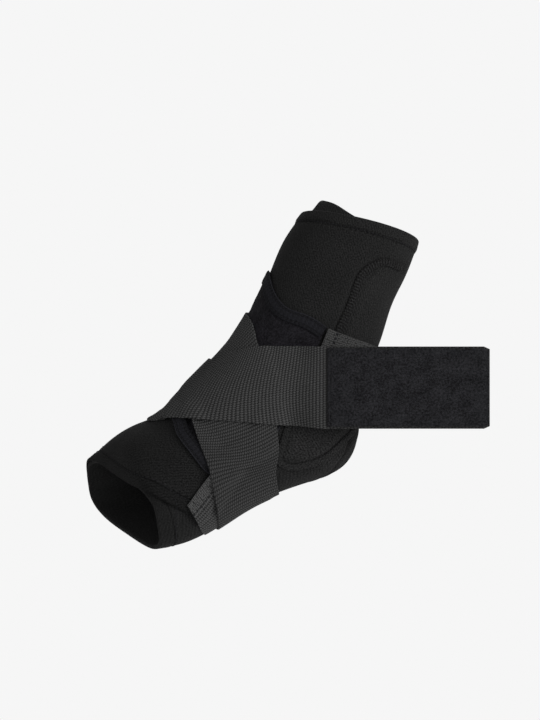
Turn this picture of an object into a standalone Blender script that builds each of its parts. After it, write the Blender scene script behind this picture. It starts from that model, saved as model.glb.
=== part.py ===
"""Ankle brace: a foamed-rubber sleeve shaped to a left foot, with two elastic straps wound round it.

The frame is +X towards the free end of the outer strap, +Y towards the inner side of the ankle and
+Z up. The origin is the middle of the ankle. Every piece is a sheet laid on one surface, the outer
face of the sleeve. A place on that surface is two numbers: along, which counts the sections from
the leg rim (0) to the toe rim (13), and around, in degrees, with 0 at the front, 90 on the outer
side, 180 at the heel or sole and -90 on the inner side.
"""
import bpy
import numpy as np

for old in list(bpy.data.objects):
    bpy.data.objects.remove(old, do_unlink=True)

# Sizes in metres
SLEEVE_SPAN = 0.240
SLEEVE_WIDTH = 0.082
SLEEVE_WALL = 0.0030
FLAP_THICKNESS = 0.0022
INNER_FLAP_THICKNESS = 0.0022
PANEL_THICKNESS = 0.0010
TAB_THICKNESS = 0.0013
STRAP_WIDTH = 0.0560
STRAP_THICKNESS = 0.0014
END_PAD_LENGTH = 0.1110
END_PAD_WIDTH = 0.0535
END_PAD_THICKNESS = 0.0016
HOOK_PATCH_LENGTH = 0.0480
HOOK_PATCH_INSET = 0.0050
FREE_STRETCH = 0.0215
PULL_CLEARANCE = 0.0015
PULL_DROP = 0.0020
LAYER_GAP = 0.00035
FACET = 0.0065
EDGE_REACH = 1.25 * FACET

# The sections of the sleeve's outer face. Columns one to six are shares of SLEEVE_SPAN: the centre,
# the half-vector to the front, and the lean of the half-vector to the outer side. The next three are
# shares of SLEEVE_WIDTH. The last is the superellipse power: 2 is round, 4 is nearly square.
# centre_x, centre_z, front_x, front_z, lean_x, lean_z, half_width, centre_y, front_y, power
SECTIONS = (
    (0.178, 0.405, -0.169, 0.041, 0.006, 0.018, 0.439, 0.171, 0.000, 2.10),
    (0.139, 0.331, -0.188, 0.031, 0.006, 0.018, 0.433, 0.128, 0.000, 2.10),
    (0.101, 0.246, -0.191, 0.022, 0.006, 0.015, 0.427, 0.085, 0.000, 2.10),
    (0.067, 0.169, -0.195, 0.015, 0.003, 0.012, 0.427, 0.049, 0.000, 2.10),
    (0.031, 0.090, -0.206, 0.012, 0.000, 0.006, 0.445, 0.024, 0.000, 2.10),
    (-0.013, 0.010, -0.217, 0.019, 0.000, -0.006, 0.476, 0.000, 0.000, 2.10),
    (-0.060, -0.071, -0.235, 0.036, 0.000, -0.015, 0.463, 0.000, 0.000, 2.15),
    (-0.096, -0.155, -0.263, 0.053, 0.006, -0.023, 0.439, 0.000, 0.000, 2.20),
    (-0.149, -0.227, -0.268, 0.066, 0.023, -0.029, 0.439, -0.012, -0.012, 2.25),
    (-0.238, -0.264, -0.233, 0.071, 0.044, -0.035, 0.457, -0.024, -0.030, 2.40),
    (-0.327, -0.302, -0.181, 0.077, 0.064, -0.041, 0.476, -0.037, -0.055, 2.65),
    (-0.397, -0.347, -0.125, 0.089, 0.085, -0.047, 0.488, -0.049, -0.079, 3.00),
    (-0.459, -0.385, -0.066, 0.096, 0.102, -0.053, 0.500, -0.061, -0.091, 3.30),
    (-0.519, -0.407, -0.010, 0.089, 0.113, -0.057, 0.506, -0.061, -0.094, 3.50),
)
TOE_RIM = len(SECTIONS) - 1

# Edges of the sheets, as (along, around) from the inner side to the outer side of the foot
FLAP_FRONT = ((13.0, -125), (13.0, -60), (13.0, -20), (13.0, 22), (12.3, 49), (11.75, 71), (11.4, 94),
              (11.3, 110))
FLAP_BACK = ((10.2, -130), (9.2, -90), (8.3, -46), (7.75, -8), (7.55, 22), (7.95, 44), (8.9, 74), (9.6, 92))
PANEL_TOP = ((2.2, -70), (2.0, -35), (2.0, 0), (2.15, 20), (3.15, 54), (3.5, 79), (3.87, 100.2))
PANEL_BOTTOM = ((6.6, -70), (6.9, -35), (7.2, 1), (7.6, 28), (8.1, 40), (8.7, 55), (9.5, 80), (9.1, 90),
                (7.9, 95), (6.9, 97))
ANKLE_TAB_TOP = ((3.88, 101.8), (4.1, 124), (4.27, 153), (4.3, 178))
ANKLE_TAB_BOTTOM = ((5.9, 103), (6.0, 140), (6.05, 178))
INNER_FLAP_TOP = ((0.1, 14), (-0.3, -2), (-0.62, -8), (-0.75, -25), (-0.8, -50), (-0.6, -85))
INNER_FLAP_BOTTOM = ((2.6, 12), (2.6, -20), (2.6, -50), (2.6, -85))

# Rows across the straps and the forefoot tab. Each is the place of the edge on the heel side and of
# the edge on the toe side: along, around, along, around, then the row's real width as a share of
# the strap's: cloth under tension spreads over the instep and narrows where it is pulled.
INNER_STRAP_ROWS = (
    (9.50, 172, 11.15, 160, 0.92),
    (9.50, 158, 11.15, 142, 0.90),
    (9.25, 137, 10.95, 125, 0.88),
    (8.85, 118, 10.60, 111, 0.85),
    (8.10, 105, 9.95, 94, 0.88),
    (6.95, 96, 8.65, 65, 0.98),
    (6.05, 86, 7.60, 48, 1.05),
    (5.25, 71, 7.05, 36, 1.11),
    (4.45, 53, 6.70, 24, 1.16),
    (3.85, 37, 6.50, 6, 1.18),
    (3.50, 15, 6.30, -16, 1.12),
    (3.40, -10, 6.15, -38, 1.00),
    (3.45, -38, 6.05, -58, 0.92),
    (3.55, -60, 6.05, -77, 0.90),
    (3.70, -84, 6.10, -95, 0.90),
    (3.95, -112, 6.30, -116, 0.92),
    (4.20, -140, 6.50, -140, 0.94),
    (4.40, -165, 6.70, -165, 0.96),
    (4.52, -190, 6.80, -190, 0.98),
)
INNER_END_ROWS = (
    (4.53, -191.5, 6.81, -191.5, 0.98),
    (4.55, -210, 6.85, -211, 1.00),
    (4.55, -232, 6.85, -234, 1.00),
)
OUTER_STRAP_ROWS = (
    (9.25, -168, 10.95, -156, 0.96),
    (9.20, -152, 10.90, -139, 0.98),
    (8.70, -125, 10.50, -112, 1.00),
    (8.00, -105, 10.05, -90, 1.02),
    (7.20, -85, 9.60, -68, 1.04),
    (6.40, -62, 9.15, -46, 1.06),
    (5.75, -36, 8.70, -28, 1.08),
    (5.40, -13, 8.40, -12, 1.10),
    (5.20, 8, 8.15, 2, 1.10),
    (5.00, 28, 7.85, 18, 1.13),
    (4.80, 44, 7.50, 36, 1.13),
    (4.65, 57, 7.15, 57, 1.05),
    (4.58, 67, 6.95, 78, 0.99),
    (4.50, 87, 6.80, 104, 0.99),
)
FOREFOOT_TAB_ROWS = (
    (8.80, 78, 11.15, 86, 1.00),
    (9.05, 90, 11.35, 99, 1.05),
    (9.45, 108, 11.50, 117, 1.12),
    (9.65, 130, 11.60, 132, 1.20),
    (9.75, 165, 11.62, 162, 1.30),
    (9.80, 195, 11.62, 195, 1.35),
    (9.80, 212, 11.62, 212, 1.35),
)
FOREFOOT_TAB_WIDTH = 0.038

# A grid over the surface that holds how high the layers laid so far reach above the sleeve
CELLS_ALONG = 170
CELLS_AROUND = 200
ALONG_START = -1.0
CELL_SIZE = 0.0014
SMOOTH_CELLS = 4


def spline_bends(rows):
    """Second differences of the natural cubic spline through the rows."""
    count = len(rows)
    matrix = np.zeros((count, count))
    right = np.zeros_like(rows)
    matrix[0, 0] = matrix[-1, -1] = 1
    for i in range(1, count - 1):
        matrix[i, i - 1:i + 2] = 1, 4, 1
        right[i] = 6 * (rows[i - 1] - 2 * rows[i] + rows[i + 1])
    return np.linalg.solve(matrix, right)


def spline(rows, bends, place):
    """Points of that spline, with place counted in rows from 0."""
    place = np.asarray(place, float)
    i = np.clip(np.floor(place).astype(int), 0, len(rows) - 2)
    after = (place - i)[..., None]
    before = 1 - after
    bend = ((before ** 3 - before) * bends[i] + (after ** 3 - after) * bends[i + 1]) / 6
    return before * rows[i] + after * rows[i + 1] + bend


SCALE = np.array([SLEEVE_SPAN] * 6 + [SLEEVE_WIDTH] * 3 + [1.0])
SECTION_ROWS = np.array(SECTIONS) * SCALE
SECTION_BENDS = spline_bends(SECTION_ROWS)


def outer_face(along, around):
    """Points on the sleeve's outer face."""
    row = spline(SECTION_ROWS, SECTION_BENDS, along)
    angle = np.radians(around)
    power = row[..., 9]
    reach = (np.abs(np.cos(angle)) ** power + np.abs(np.sin(angle)) ** power) ** (-1 / power)
    front, side = np.cos(angle) * reach, np.sin(angle) * reach
    return np.stack([row[..., 0] + row[..., 2] * front + row[..., 4] * side,
                     row[..., 7] + row[..., 8] * front - row[..., 6] * side,
                     row[..., 1] + row[..., 3] * front + row[..., 5] * side], -1)


def raised(along, around, lift):
    """Points at a height above the sleeve's outer face, or below it where lift is negative."""
    along, around, lift = np.broadcast_arrays(along, around, lift)
    step_along, step_around = 0.02, 1.0
    down = outer_face(along + step_along, around) - outer_face(along - step_along, around)
    over = outer_face(along, around + step_around) - outer_face(along, around - step_around)
    out = np.cross(down, over)
    out /= np.linalg.norm(out, axis=-1, keepdims=True)
    return outer_face(along, around) + out * lift[..., None]


def drawn_through(points, count):
    """Points at even steps along a smooth curve through the given (along, around) places."""
    rows = np.array(points, float)
    bends = spline_bends(rows)
    fine = spline(rows, bends, np.linspace(0, len(rows) - 1, 20 * len(rows)))
    steps = np.linalg.norm(np.diff(outer_face(fine[:, 0], fine[:, 1]), axis=0), axis=1)
    run = np.concatenate([[0], np.cumsum(steps)])
    even = np.linspace(0, run[-1], count)
    return np.stack([np.interp(even, run, fine[:, k]) for k in range(2)], -1)


def ruled(one_edge, other_edge, count_long, count_wide):
    """A grid of places between two edges."""
    a, b = drawn_through(one_edge, count_long), drawn_through(other_edge, count_long)
    share = np.linspace(0, 1, count_wide)[None, :, None]
    return a[:, None] * (1 - share) + b[:, None] * share


def strap_places(rows, width, count_long, count_wide):
    """A grid of places between a strap's edges, with each row set to its share of the strap's width."""
    rows = np.array(rows, float)
    middle = spline(rows, spline_bends(rows), np.linspace(0, len(rows) - 1, 20 * len(rows)))
    centre = outer_face((middle[:, 0] + middle[:, 2]) / 2, (middle[:, 1] + middle[:, 3]) / 2)
    run = np.concatenate([[0], np.cumsum(np.linalg.norm(np.diff(centre, axis=0), axis=1))])
    even = np.linspace(0, run[-1], count_long)
    row = np.stack([np.interp(even, run, middle[:, k]) for k in range(5)], -1)
    share = np.linspace(0, 1, count_wide)[None, :, None]
    places = row[:, None, :2] * (1 - share) + row[:, None, 2:4] * share
    line = outer_face(places[..., 0], places[..., 1])
    length = np.linalg.norm(np.diff(line, axis=1), axis=2).sum(1)
    stretch = (width * row[:, 4] / length)[:, None, None]
    middle_place = places.mean(1, keepdims=True)
    return middle_place + (places - middle_place) * stretch


relief = np.zeros((CELLS_ALONG, CELLS_AROUND))


def cell(along, around):
    """Fractional cell of a place."""
    return ((along - ALONG_START) / (TOE_RIM + 0.5 - ALONG_START) * (CELLS_ALONG - 1),
            np.mod(around, 360) / 360 * CELLS_AROUND)


def bedding(places, reach):
    """Height of the layers below each place, held level for reach round their edges."""
    cells = max(1, int(round(reach / CELL_SIZE)))
    grid = relief.copy()
    for _ in range(cells + SMOOTH_CELLS):
        padded = np.pad(grid, ((1, 1), (0, 0)), mode="edge")
        grid = np.maximum.reduce([padded[:-2], padded[1:-1], padded[2:]])
        grid = np.maximum.reduce([np.roll(grid, 1, 1), grid, np.roll(grid, -1, 1)])
    for _ in range(SMOOTH_CELLS):
        padded = np.pad(grid, ((1, 1), (0, 0)), mode="edge")
        grid = (padded[:-2] + padded[1:-1] + padded[2:]) / 3
        grid = (np.roll(grid, 1, 1) + grid + np.roll(grid, -1, 1)) / 3
    i, j = cell(places[..., 0], places[..., 1])
    i = np.clip(i, 0, CELLS_ALONG - 1.001)
    i0, j0 = np.floor(i).astype(int), np.floor(j).astype(int) % CELLS_AROUND
    j1 = (j0 + 1) % CELLS_AROUND
    return np.maximum.reduce([grid[i0, j0], grid[i0 + 1, j0], grid[i0, j1], grid[i0 + 1, j1]])


def cover(places, top):
    """Record a laid sheet's top height in the grid."""
    sheet = np.concatenate([places, top[..., None]], -1)
    for u in np.linspace(0, 1, 8):
        line = sheet[:-1] * (1 - u) + sheet[1:] * u
        for v in np.linspace(0, 1, 8):
            point = line[:, :-1] * (1 - v) + line[:, 1:] * v
            i, j = cell(point[..., 0], point[..., 1])
            i = np.clip(np.round(i).astype(int), 0, CELLS_ALONG - 1)
            j = np.round(j).astype(int) % CELLS_AROUND
            np.maximum.at(relief, (i, j), point[..., 2])


def facet_sag(places):
    """How far flat facets between these places dip below the smooth face, at each place."""
    sag = np.zeros(places.shape[:2])
    face = outer_face(places[..., 0], places[..., 1])
    for down, over in ((1, 0), (0, 1), (1, 1)):
        a, b = places[:places.shape[0] - down, :places.shape[1] - over], places[down:, over:]
        near, far = face[:face.shape[0] - down, :face.shape[1] - over], face[down:, over:]
        middle = (a + b) / 2
        dip = np.linalg.norm(outer_face(middle[..., 0], middle[..., 1]) - (near + far) / 2, axis=-1)
        before, after = sag[:sag.shape[0] - down, :sag.shape[1] - over], sag[down:, over:]
        np.maximum(before, dip, out=before)
        np.maximum(after, dip, out=after)
    return sag


def material(name, colour, roughness):
    """A cloth-like Principled material."""
    made = bpy.data.materials.new(name)
    made.use_nodes = True
    shader = made.node_tree.nodes["Principled BSDF"]
    shader.inputs["Base Color"].default_value = (*colour, 1.0)
    shader.inputs["Roughness"].default_value = roughness
    shader.inputs["Metallic"].default_value = 0.0
    made.diffuse_color = (*colour, 1.0)
    return made


def add_object(name, points, faces, made_of):
    """One named object from points and faces, its faces turned outwards."""
    mesh = bpy.data.meshes.new(name)
    mesh.from_pydata([tuple(p) for p in points], [], [tuple(f) for f in faces])
    mesh.validate()
    piece = bpy.data.objects.new(name, mesh)
    bpy.context.scene.collection.objects.link(piece)
    mesh.materials.append(made_of)
    mesh.shade_smooth()
    mesh.set_sharp_from_angle(angle=0.7)
    return piece


def signed_volume(points, faces):
    """Volume inside the faces, negative if they point inwards."""
    total = 0.0
    for face in faces:
        for k in range(1, len(face) - 1):
            a, b, c = points[face[0]], points[face[k]], points[face[k + 1]]
            total += np.dot(a, np.cross(b, c)) / 6
    return total


def add_slab(name, top, bottom, made_of, closed_around=False):
    """A closed sheet between two grids of points. The second direction may close on itself."""
    rows, columns = top.shape[:2]
    points = np.concatenate([top.reshape(-1, 3), bottom.reshape(-1, 3)])
    below = rows * columns
    faces = []
    column_steps = columns if closed_around else columns - 1
    for i in range(rows - 1):
        for j in range(column_steps):
            k = (j + 1) % columns
            a, b, c, d = i * columns + j, i * columns + k, (i + 1) * columns + k, (i + 1) * columns + j
            faces.append((a, b, c, d))
            faces.append((d + below, c + below, b + below, a + below))
    for j in range(column_steps):
        k = (j + 1) % columns
        last = (rows - 1) * columns
        faces.append((k, j, j + below, k + below))
        faces.append((last + j, last + k, last + k + below, last + j + below))
    if not closed_around:
        for i in range(rows - 1):
            a, b = i * columns, (i + 1) * columns
            faces.append((a, b, b + below, a + below))
            a, b = a + columns - 1, b + columns - 1
            faces.append((b, a, a + below, b + below))
    if signed_volume(points, faces) < 0:
        faces = [tuple(reversed(f)) for f in faces]
    return add_object(name, points, faces, made_of)


def count_for(edge_points, facet=FACET):
    """How many grid points give facets of about the wanted size along a curve."""
    line = outer_face(*drawn_through(edge_points, 60).T)
    return max(3, int(round(np.linalg.norm(np.diff(line, axis=0), axis=1).sum() / facet)) + 1)


def laid(places, thickness):
    """Heights of the lower and upper faces of a sheet laid over what is there already."""
    bottom = bedding(places, EDGE_REACH) + LAYER_GAP + facet_sag(places)
    return bottom, bottom + thickness


def lay(name, places, thickness, made_of):
    """Lay a sheet over what is there already and record it."""
    bottom, top = laid(places, thickness)
    along, around = places[..., 0], places[..., 1]
    add_slab(name, raised(along, around, top), raised(along, around, bottom), made_of)
    cover(places, top)


neoprene = (0.0122, 0.0122, 0.0126)
elastic = (0.0331, 0.0331, 0.0331)
pile = (0.0144, 0.0138, 0.0160)
grey_tab = (0.0467, 0.0467, 0.0467)

# Sleeve: one wall, open at the leg and at the toes
SLEEVE_RINGS = 32
SLEEVE_SIDES = 38
sleeve_along = np.linspace(0, TOE_RIM, SLEEVE_RINGS)
sleeve_around = np.linspace(0, 360, SLEEVE_SIDES, endpoint=False)
sleeve_grid = np.meshgrid(sleeve_along, sleeve_around, indexing="ij")
add_slab("ankle_sleeve", raised(*sleeve_grid, 0.0), raised(*sleeve_grid, -SLEEVE_WALL),
         material("black_foam_rubber", neoprene, 0.85), closed_around=True)

# Inner flap: the end of the wrap, inside the sleeve's front, its corner above the rim
inner_count = count_for(INNER_FLAP_BOTTOM)
inner_places = ruled(INNER_FLAP_TOP, INNER_FLAP_BOTTOM, inner_count, 12)
inner_top = -(SLEEVE_WALL + 2 * LAYER_GAP)
inner_bottom = inner_top - INNER_FLAP_THICKNESS
add_slab("inner_flap", raised(inner_places[..., 0], inner_places[..., 1], inner_top),
         raised(inner_places[..., 0], inner_places[..., 1], inner_bottom), material("inner_flap_rubber", neoprene, 0.85))

# Forefoot flap, instep panel and tabs
flap_places = ruled(FLAP_FRONT, FLAP_BACK, count_for(FLAP_FRONT), 10)
lay("forefoot_flap", flap_places, FLAP_THICKNESS, material("forefoot_flap_rubber", neoprene, 0.85))
panel_places = ruled(PANEL_TOP, PANEL_BOTTOM, count_for(PANEL_TOP), 13)
lay("instep_panel", panel_places, PANEL_THICKNESS, material("instep_panel_loop_cloth", pile, 0.95))
ankle_tab_places = ruled(ANKLE_TAB_TOP, ANKLE_TAB_BOTTOM, count_for(ANKLE_TAB_TOP), 7)
lay("ankle_tab", ankle_tab_places, TAB_THICKNESS, material("ankle_tab_webbing", grey_tab, 0.8))
forefoot_tab_places = strap_places(FOREFOOT_TAB_ROWS, FOREFOOT_TAB_WIDTH, 22, 7)
lay("forefoot_tab", forefoot_tab_places, TAB_THICKNESS, material("forefoot_tab_elastic", grey_tab, 0.8))

# Inner strap and its end
inner_strap_places = strap_places(INNER_STRAP_ROWS, STRAP_WIDTH, 50, 8)
lay("inner_strap", inner_strap_places, STRAP_THICKNESS, material("inner_strap_elastic", elastic, 0.8))
inner_end_places = strap_places(INNER_END_ROWS, STRAP_WIDTH, 7, 8)
lay("inner_strap_end", inner_end_places, STRAP_THICKNESS, material("inner_strap_end_loop_cloth", pile, 0.95))

# Outer strap: round the foot, then straight and flat to its free end
outer_places = strap_places(OUTER_STRAP_ROWS, STRAP_WIDTH, 38, 8)
outer_bottom, outer_top = laid(outer_places, STRAP_THICKNESS)
wound_top = raised(outer_places[..., 0], outer_places[..., 1], outer_top)
wound_bottom = raised(outer_places[..., 0], outer_places[..., 1], outer_bottom)
last = wound_bottom[-1]
leave = last.mean(0) - (0, 0, PULL_DROP)
pull_plane = last[:, 1].min() - PULL_CLEARANCE
end_line = np.stack([np.full(len(last), leave[0]), np.full(len(last), pull_plane),
                     leave[2] + np.linspace(0.5, -0.5, len(last)) * STRAP_WIDTH], -1)
free_top, free_bottom = [], []
free_runs = np.append(np.linspace(0, FREE_STRETCH, 6)[1:], FREE_STRETCH + np.linspace(0, END_PAD_LENGTH, 4)[1:])
for run in free_runs:
    share = min(1.0, run / FREE_STRETCH)
    share = share * share * (3 - 2 * share)
    line = last * (1 - share) + end_line * share + np.array([run, 0, 0])
    free_bottom.append(line)
    free_top.append(line + np.array([0, -STRAP_THICKNESS, 0]))
add_slab("outer_strap", np.concatenate([wound_top, free_top]), np.concatenate([wound_bottom, free_bottom]),
         material("outer_strap_elastic", elastic, 0.8))


def add_block(name, low, high, made_of):
    """A plain flat pad between two corners."""
    x0, y0, z0 = low
    x1, y1, z1 = high
    front = np.array([[[x0, y0, z1], [x0, y0, z0]], [[x1, y0, z1], [x1, y0, z0]]])
    back = front.copy()
    back[..., 1] = y1
    return add_slab(name, front, back, made_of)


strap_face = end_line[0, 1] - STRAP_THICKNESS
pad_start = leave[0] + FREE_STRETCH + LAYER_GAP
pad_end = pad_start + END_PAD_LENGTH - 2 * LAYER_GAP
pad_top = leave[2] + STRAP_WIDTH / 2
add_block("outer_strap_end_pad", (pad_start, strap_face - LAYER_GAP - END_PAD_THICKNESS, pad_top - END_PAD_WIDTH),
          (pad_end, strap_face - LAYER_GAP, pad_top), material("end_pad_loop_cloth", pile, 0.95))
hook_start = pad_end - HOOK_PATCH_LENGTH
hook_face = end_line[0, 1] + LAYER_GAP
add_block("outer_strap_hook_patch", (hook_start, hook_face, leave[2] - STRAP_WIDTH / 2 + HOOK_PATCH_INSET),
          (pad_end, hook_face + END_PAD_THICKNESS, pad_top - HOOK_PATCH_INSET), material("hook_patch", grey_tab, 0.7))
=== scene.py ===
"""Ankle brace: the cloth, seams and stitches of a left brace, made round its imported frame.

Metres, with +X towards the free end of the outer strap, +Y towards the inner side of the ankle and
+Z up. Every cloth is laid on one surface, the outer face of the sleeve. A place there is two numbers:
along, which counts the sections from the upper rim (0) to the toe rim (13), and around, in degrees,
with 0 at the front, 90 on the outer side, 180 at the heel or sole and -90 on the inner side.
"""

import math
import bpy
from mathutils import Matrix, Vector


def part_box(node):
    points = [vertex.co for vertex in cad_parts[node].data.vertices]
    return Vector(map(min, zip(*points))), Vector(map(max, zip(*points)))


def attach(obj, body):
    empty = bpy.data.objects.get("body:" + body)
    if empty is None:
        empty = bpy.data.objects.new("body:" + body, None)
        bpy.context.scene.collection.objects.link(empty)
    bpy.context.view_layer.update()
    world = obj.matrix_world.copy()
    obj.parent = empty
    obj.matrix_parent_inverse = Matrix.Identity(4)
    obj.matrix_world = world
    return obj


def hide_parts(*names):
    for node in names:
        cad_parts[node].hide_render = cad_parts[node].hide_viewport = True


bl_info = {
    "name": "Ankle brace",
    "version": (1, 0, 0),
    "blender": (4, 5, 0),
    "location": "3D View > Sidebar > Brace",
    "description": "Makes the cloths, seams and stitches of an ankle brace round its packed frame",
    "category": "Add Mesh",
}

import bpy
import numpy as np
from mathutils import Vector

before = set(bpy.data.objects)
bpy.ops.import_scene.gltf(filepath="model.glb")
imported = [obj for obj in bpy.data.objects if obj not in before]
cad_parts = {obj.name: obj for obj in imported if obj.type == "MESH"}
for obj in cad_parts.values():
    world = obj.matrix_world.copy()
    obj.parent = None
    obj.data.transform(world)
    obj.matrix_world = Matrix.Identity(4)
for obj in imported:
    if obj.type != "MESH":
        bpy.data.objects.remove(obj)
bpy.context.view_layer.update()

# The sleeve's outer face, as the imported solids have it. Columns one to six are shares of
# SLEEVE_SPAN: the centre, the half-vector to the front, and the lean of the half-vector to the outer
# side. The next three are shares of SLEEVE_WIDTH. The last is the superellipse power.
SLEEVE_SPAN = 0.240
SLEEVE_WIDTH = 0.082
# centre_x, centre_z, front_x, front_z, lean_x, lean_z, half_width, centre_y, front_y, power
SECTIONS = (
    (0.178, 0.405, -0.169, 0.041, 0.006, 0.018, 0.439, 0.171, 0.000, 2.10),
    (0.139, 0.331, -0.188, 0.031, 0.006, 0.018, 0.433, 0.128, 0.000, 2.10),
    (0.101, 0.246, -0.191, 0.022, 0.006, 0.015, 0.427, 0.085, 0.000, 2.10),
    (0.067, 0.169, -0.195, 0.015, 0.003, 0.012, 0.427, 0.049, 0.000, 2.10),
    (0.031, 0.090, -0.206, 0.012, 0.000, 0.006, 0.445, 0.024, 0.000, 2.10),
    (-0.013, 0.010, -0.217, 0.019, 0.000, -0.006, 0.476, 0.000, 0.000, 2.10),
    (-0.060, -0.071, -0.235, 0.036, 0.000, -0.015, 0.463, 0.000, 0.000, 2.15),
    (-0.096, -0.155, -0.263, 0.053, 0.006, -0.023, 0.439, 0.000, 0.000, 2.20),
    (-0.149, -0.227, -0.268, 0.066, 0.023, -0.029, 0.439, -0.012, -0.012, 2.25),
    (-0.238, -0.264, -0.233, 0.071, 0.044, -0.035, 0.457, -0.024, -0.030, 2.40),
    (-0.327, -0.302, -0.181, 0.077, 0.064, -0.041, 0.476, -0.037, -0.055, 2.65),
    (-0.397, -0.347, -0.125, 0.089, 0.085, -0.047, 0.488, -0.049, -0.079, 3.00),
    (-0.459, -0.385, -0.066, 0.096, 0.102, -0.053, 0.500, -0.061, -0.091, 3.30),
    (-0.519, -0.407, -0.010, 0.089, 0.113, -0.057, 0.506, -0.061, -0.094, 3.50),
)
TOE_RIM = len(SECTIONS) - 1

# Edges of the cloths, as (along, around) from the inner side to the outer side
FLAP_FRONT = ((13.0, -125), (13.0, -60), (13.0, -20), (13.0, 22), (12.3, 49), (11.75, 71), (11.4, 94),
              (11.3, 110))
FLAP_BACK = ((10.2, -130), (9.2, -90), (8.3, -46), (7.75, -8), (7.55, 22), (7.95, 44), (8.9, 74), (9.6, 92))
PANEL_TOP = ((2.2, -70), (2.0, -35), (2.0, 0), (2.15, 20), (3.15, 54), (3.5, 79), (3.87, 100.2))
PANEL_BOTTOM = ((6.6, -70), (6.9, -35), (7.2, 1), (7.6, 28), (8.1, 40), (8.7, 55), (9.5, 80), (9.0, 87),
                (7.9, 91), (6.9, 96))
ANKLE_TAB_TOP = ((3.88, 101.8), (4.1, 124), (4.27, 153), (4.3, 178))
ANKLE_TAB_BOTTOM = ((5.9, 103), (6.0, 140), (6.05, 178))
INNER_FLAP_TOP = ((0.1, 14), (-0.3, -2), (-0.62, -8), (-0.75, -25), (-0.8, -50), (-0.6, -85))
INNER_FLAP_BOTTOM = ((2.6, 12), (2.6, -20), (2.6, -50), (2.6, -85))
OVAL_SEAM = ((1.4, 150), (1.38, 136), (1.4, 124), (1.62, 115.5), (1.9, 110.5), (2.3, 110), (2.8, 111.5),
             (3.5, 112), (4.6, 109), (5.8, 104), (7.0, 101), (7.95, 103), (8.2, 114), (8.0, 121), (7.8, 127),
             (7.3, 138), (6.9, 150), (6.6, 168))
HEEL_SEAM = ((6.6, 153), (6.96, 151.3), (7.2, 149.5), (7.45, 147.5), (7.7, 146), (7.95, 146.5), (8.3, 151),
             (8.7, 160), (8.9, 172))

# Rows across the straps and the forefoot tab: along and around of the edge on the heel side, then of
# the edge on the toe side, then the row's width as a share of the strap's.
INNER_STRAP_ROWS = (
    (9.50, 172, 11.15, 160, 0.92),
    (9.50, 158, 11.15, 142, 0.90),
    (9.37, 137, 10.95, 125, 0.85),
    (8.90, 118, 10.60, 111, 0.83),
    (8.20, 104, 9.95, 94, 0.86),
    (7.02, 95, 8.65, 65, 0.97),
    (6.05, 86, 7.60, 48, 1.05),
    (5.25, 71, 7.05, 36, 1.11),
    (4.45, 51, 6.70, 24, 1.14),
    (3.85, 37, 6.50, 6, 1.18),
    (3.50, 15, 6.30, -16, 1.12),
    (3.40, -10, 6.15, -38, 1.00),
    (3.45, -38, 6.05, -58, 0.92),
    (3.55, -60, 6.05, -77, 0.90),
    (3.70, -84, 6.10, -95, 0.90),
    (3.95, -112, 6.30, -116, 0.92),
    (4.20, -140, 6.50, -140, 0.94),
    (4.40, -165, 6.62, -165, 0.93),
    (4.52, -190, 6.68, -190, 0.94),
)
INNER_END_ROWS = (
    (4.53, -191.5, 6.69, -191.5, 0.94),
    (4.55, -210, 6.72, -211, 0.95),
    (4.55, -232, 6.72, -234, 0.95),
)
OUTER_STRAP_ROWS = (
    (9.25, -168, 10.95, -156, 0.96),
    (9.20, -152, 10.90, -139, 0.98),
    (8.70, -125, 10.50, -112, 1.00),
    (8.00, -105, 10.05, -90, 1.02),
    (7.20, -85, 9.60, -68, 1.04),
    (6.40, -62, 9.15, -46, 1.06),
    (5.75, -36, 8.58, -28, 1.05),
    (5.40, -12, 8.35, -17, 1.10),
    (5.33, 11, 8.34, -3, 1.12),
    (5.06, 24, 7.71, 25, 1.04),
    (4.89, 36, 7.41, 43, 0.985),
    (4.78, 43, 7.22, 55, 0.95),
    (4.68, 50, 7.08, 66, 0.94),
    (4.62, 57, 6.98, 76, 0.94),
    (4.56, 65, 6.93, 85, 0.96),
    (4.53, 74, 6.86, 95, 0.97),
    (4.50, 84, 6.80, 104, 0.98),
)
FOREFOOT_TAB_ROWS = (
    (8.80, 78, 11.15, 86, 1.00),
    (9.05, 90, 11.35, 99, 1.05),
    (9.45, 108, 11.50, 117, 1.12),
    (9.65, 130, 11.60, 132, 1.20),
    (9.75, 165, 11.62, 162, 1.30),
    (9.80, 195, 11.62, 195, 1.35),
    (9.80, 212, 11.62, 212, 1.35),
)
FOREFOOT_TAB_WIDTH = 0.038

# About how far each strap is wound on the sleeve, which sets how many rows it gets
INNER_STRAP_WOUND = 0.36
OUTER_STRAP_WOUND = 0.25
SAMPLES_PER_RIB = 7

# The free end of the outer strap: how far it takes to turn straight, how far its corners are cut and
# how steeply, and how far it stands above the pad's upper edge and behind its back
FREE_STRETCH = 0.0215
CORNER_LENGTH = 0.004
CORNER_SLOPE = 0.9
STANDS_ABOVE_PAD = 0.0010
STANDS_BEHIND_PAD = 0.00035

# Rows of the outer strap over which its bend is eased, before and after it leaves the sleeve, how many
# of them are averaged together, and how often
EASED_BEFORE = 60
EASED_AFTER = 100
EASED_TOGETHER = 24
EASED_TIMES = 3

# Small distances between the cloths and in their sewing
LAYER_GAP = 0.0002
HEM_GROOVE = 0.0007
SEAM_SINK = 0.0004
FLAP_BEHIND_WALL = 0.0007
INNER_FLAP_THICKNESS = 0.0020

# How full a cloth still is at its very edge, and how thin a thread is at its ends
EDGE_FULLNESS = 0.15
THREAD_TAPER = 0.45

# Half the step along, counted in sections, over which the slope of the sleeve is taken
SLOPE_REACH = 0.02

# The grid that holds how high the layers laid so far reach above the sleeve
CELLS_ALONG = 480
CELLS_AROUND = 560
ALONG_START = -1.0
ALONG_END = TOE_RIM + 0.5
REACH_CELLS = 2
SMOOTH_CELLS = 4


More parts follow.
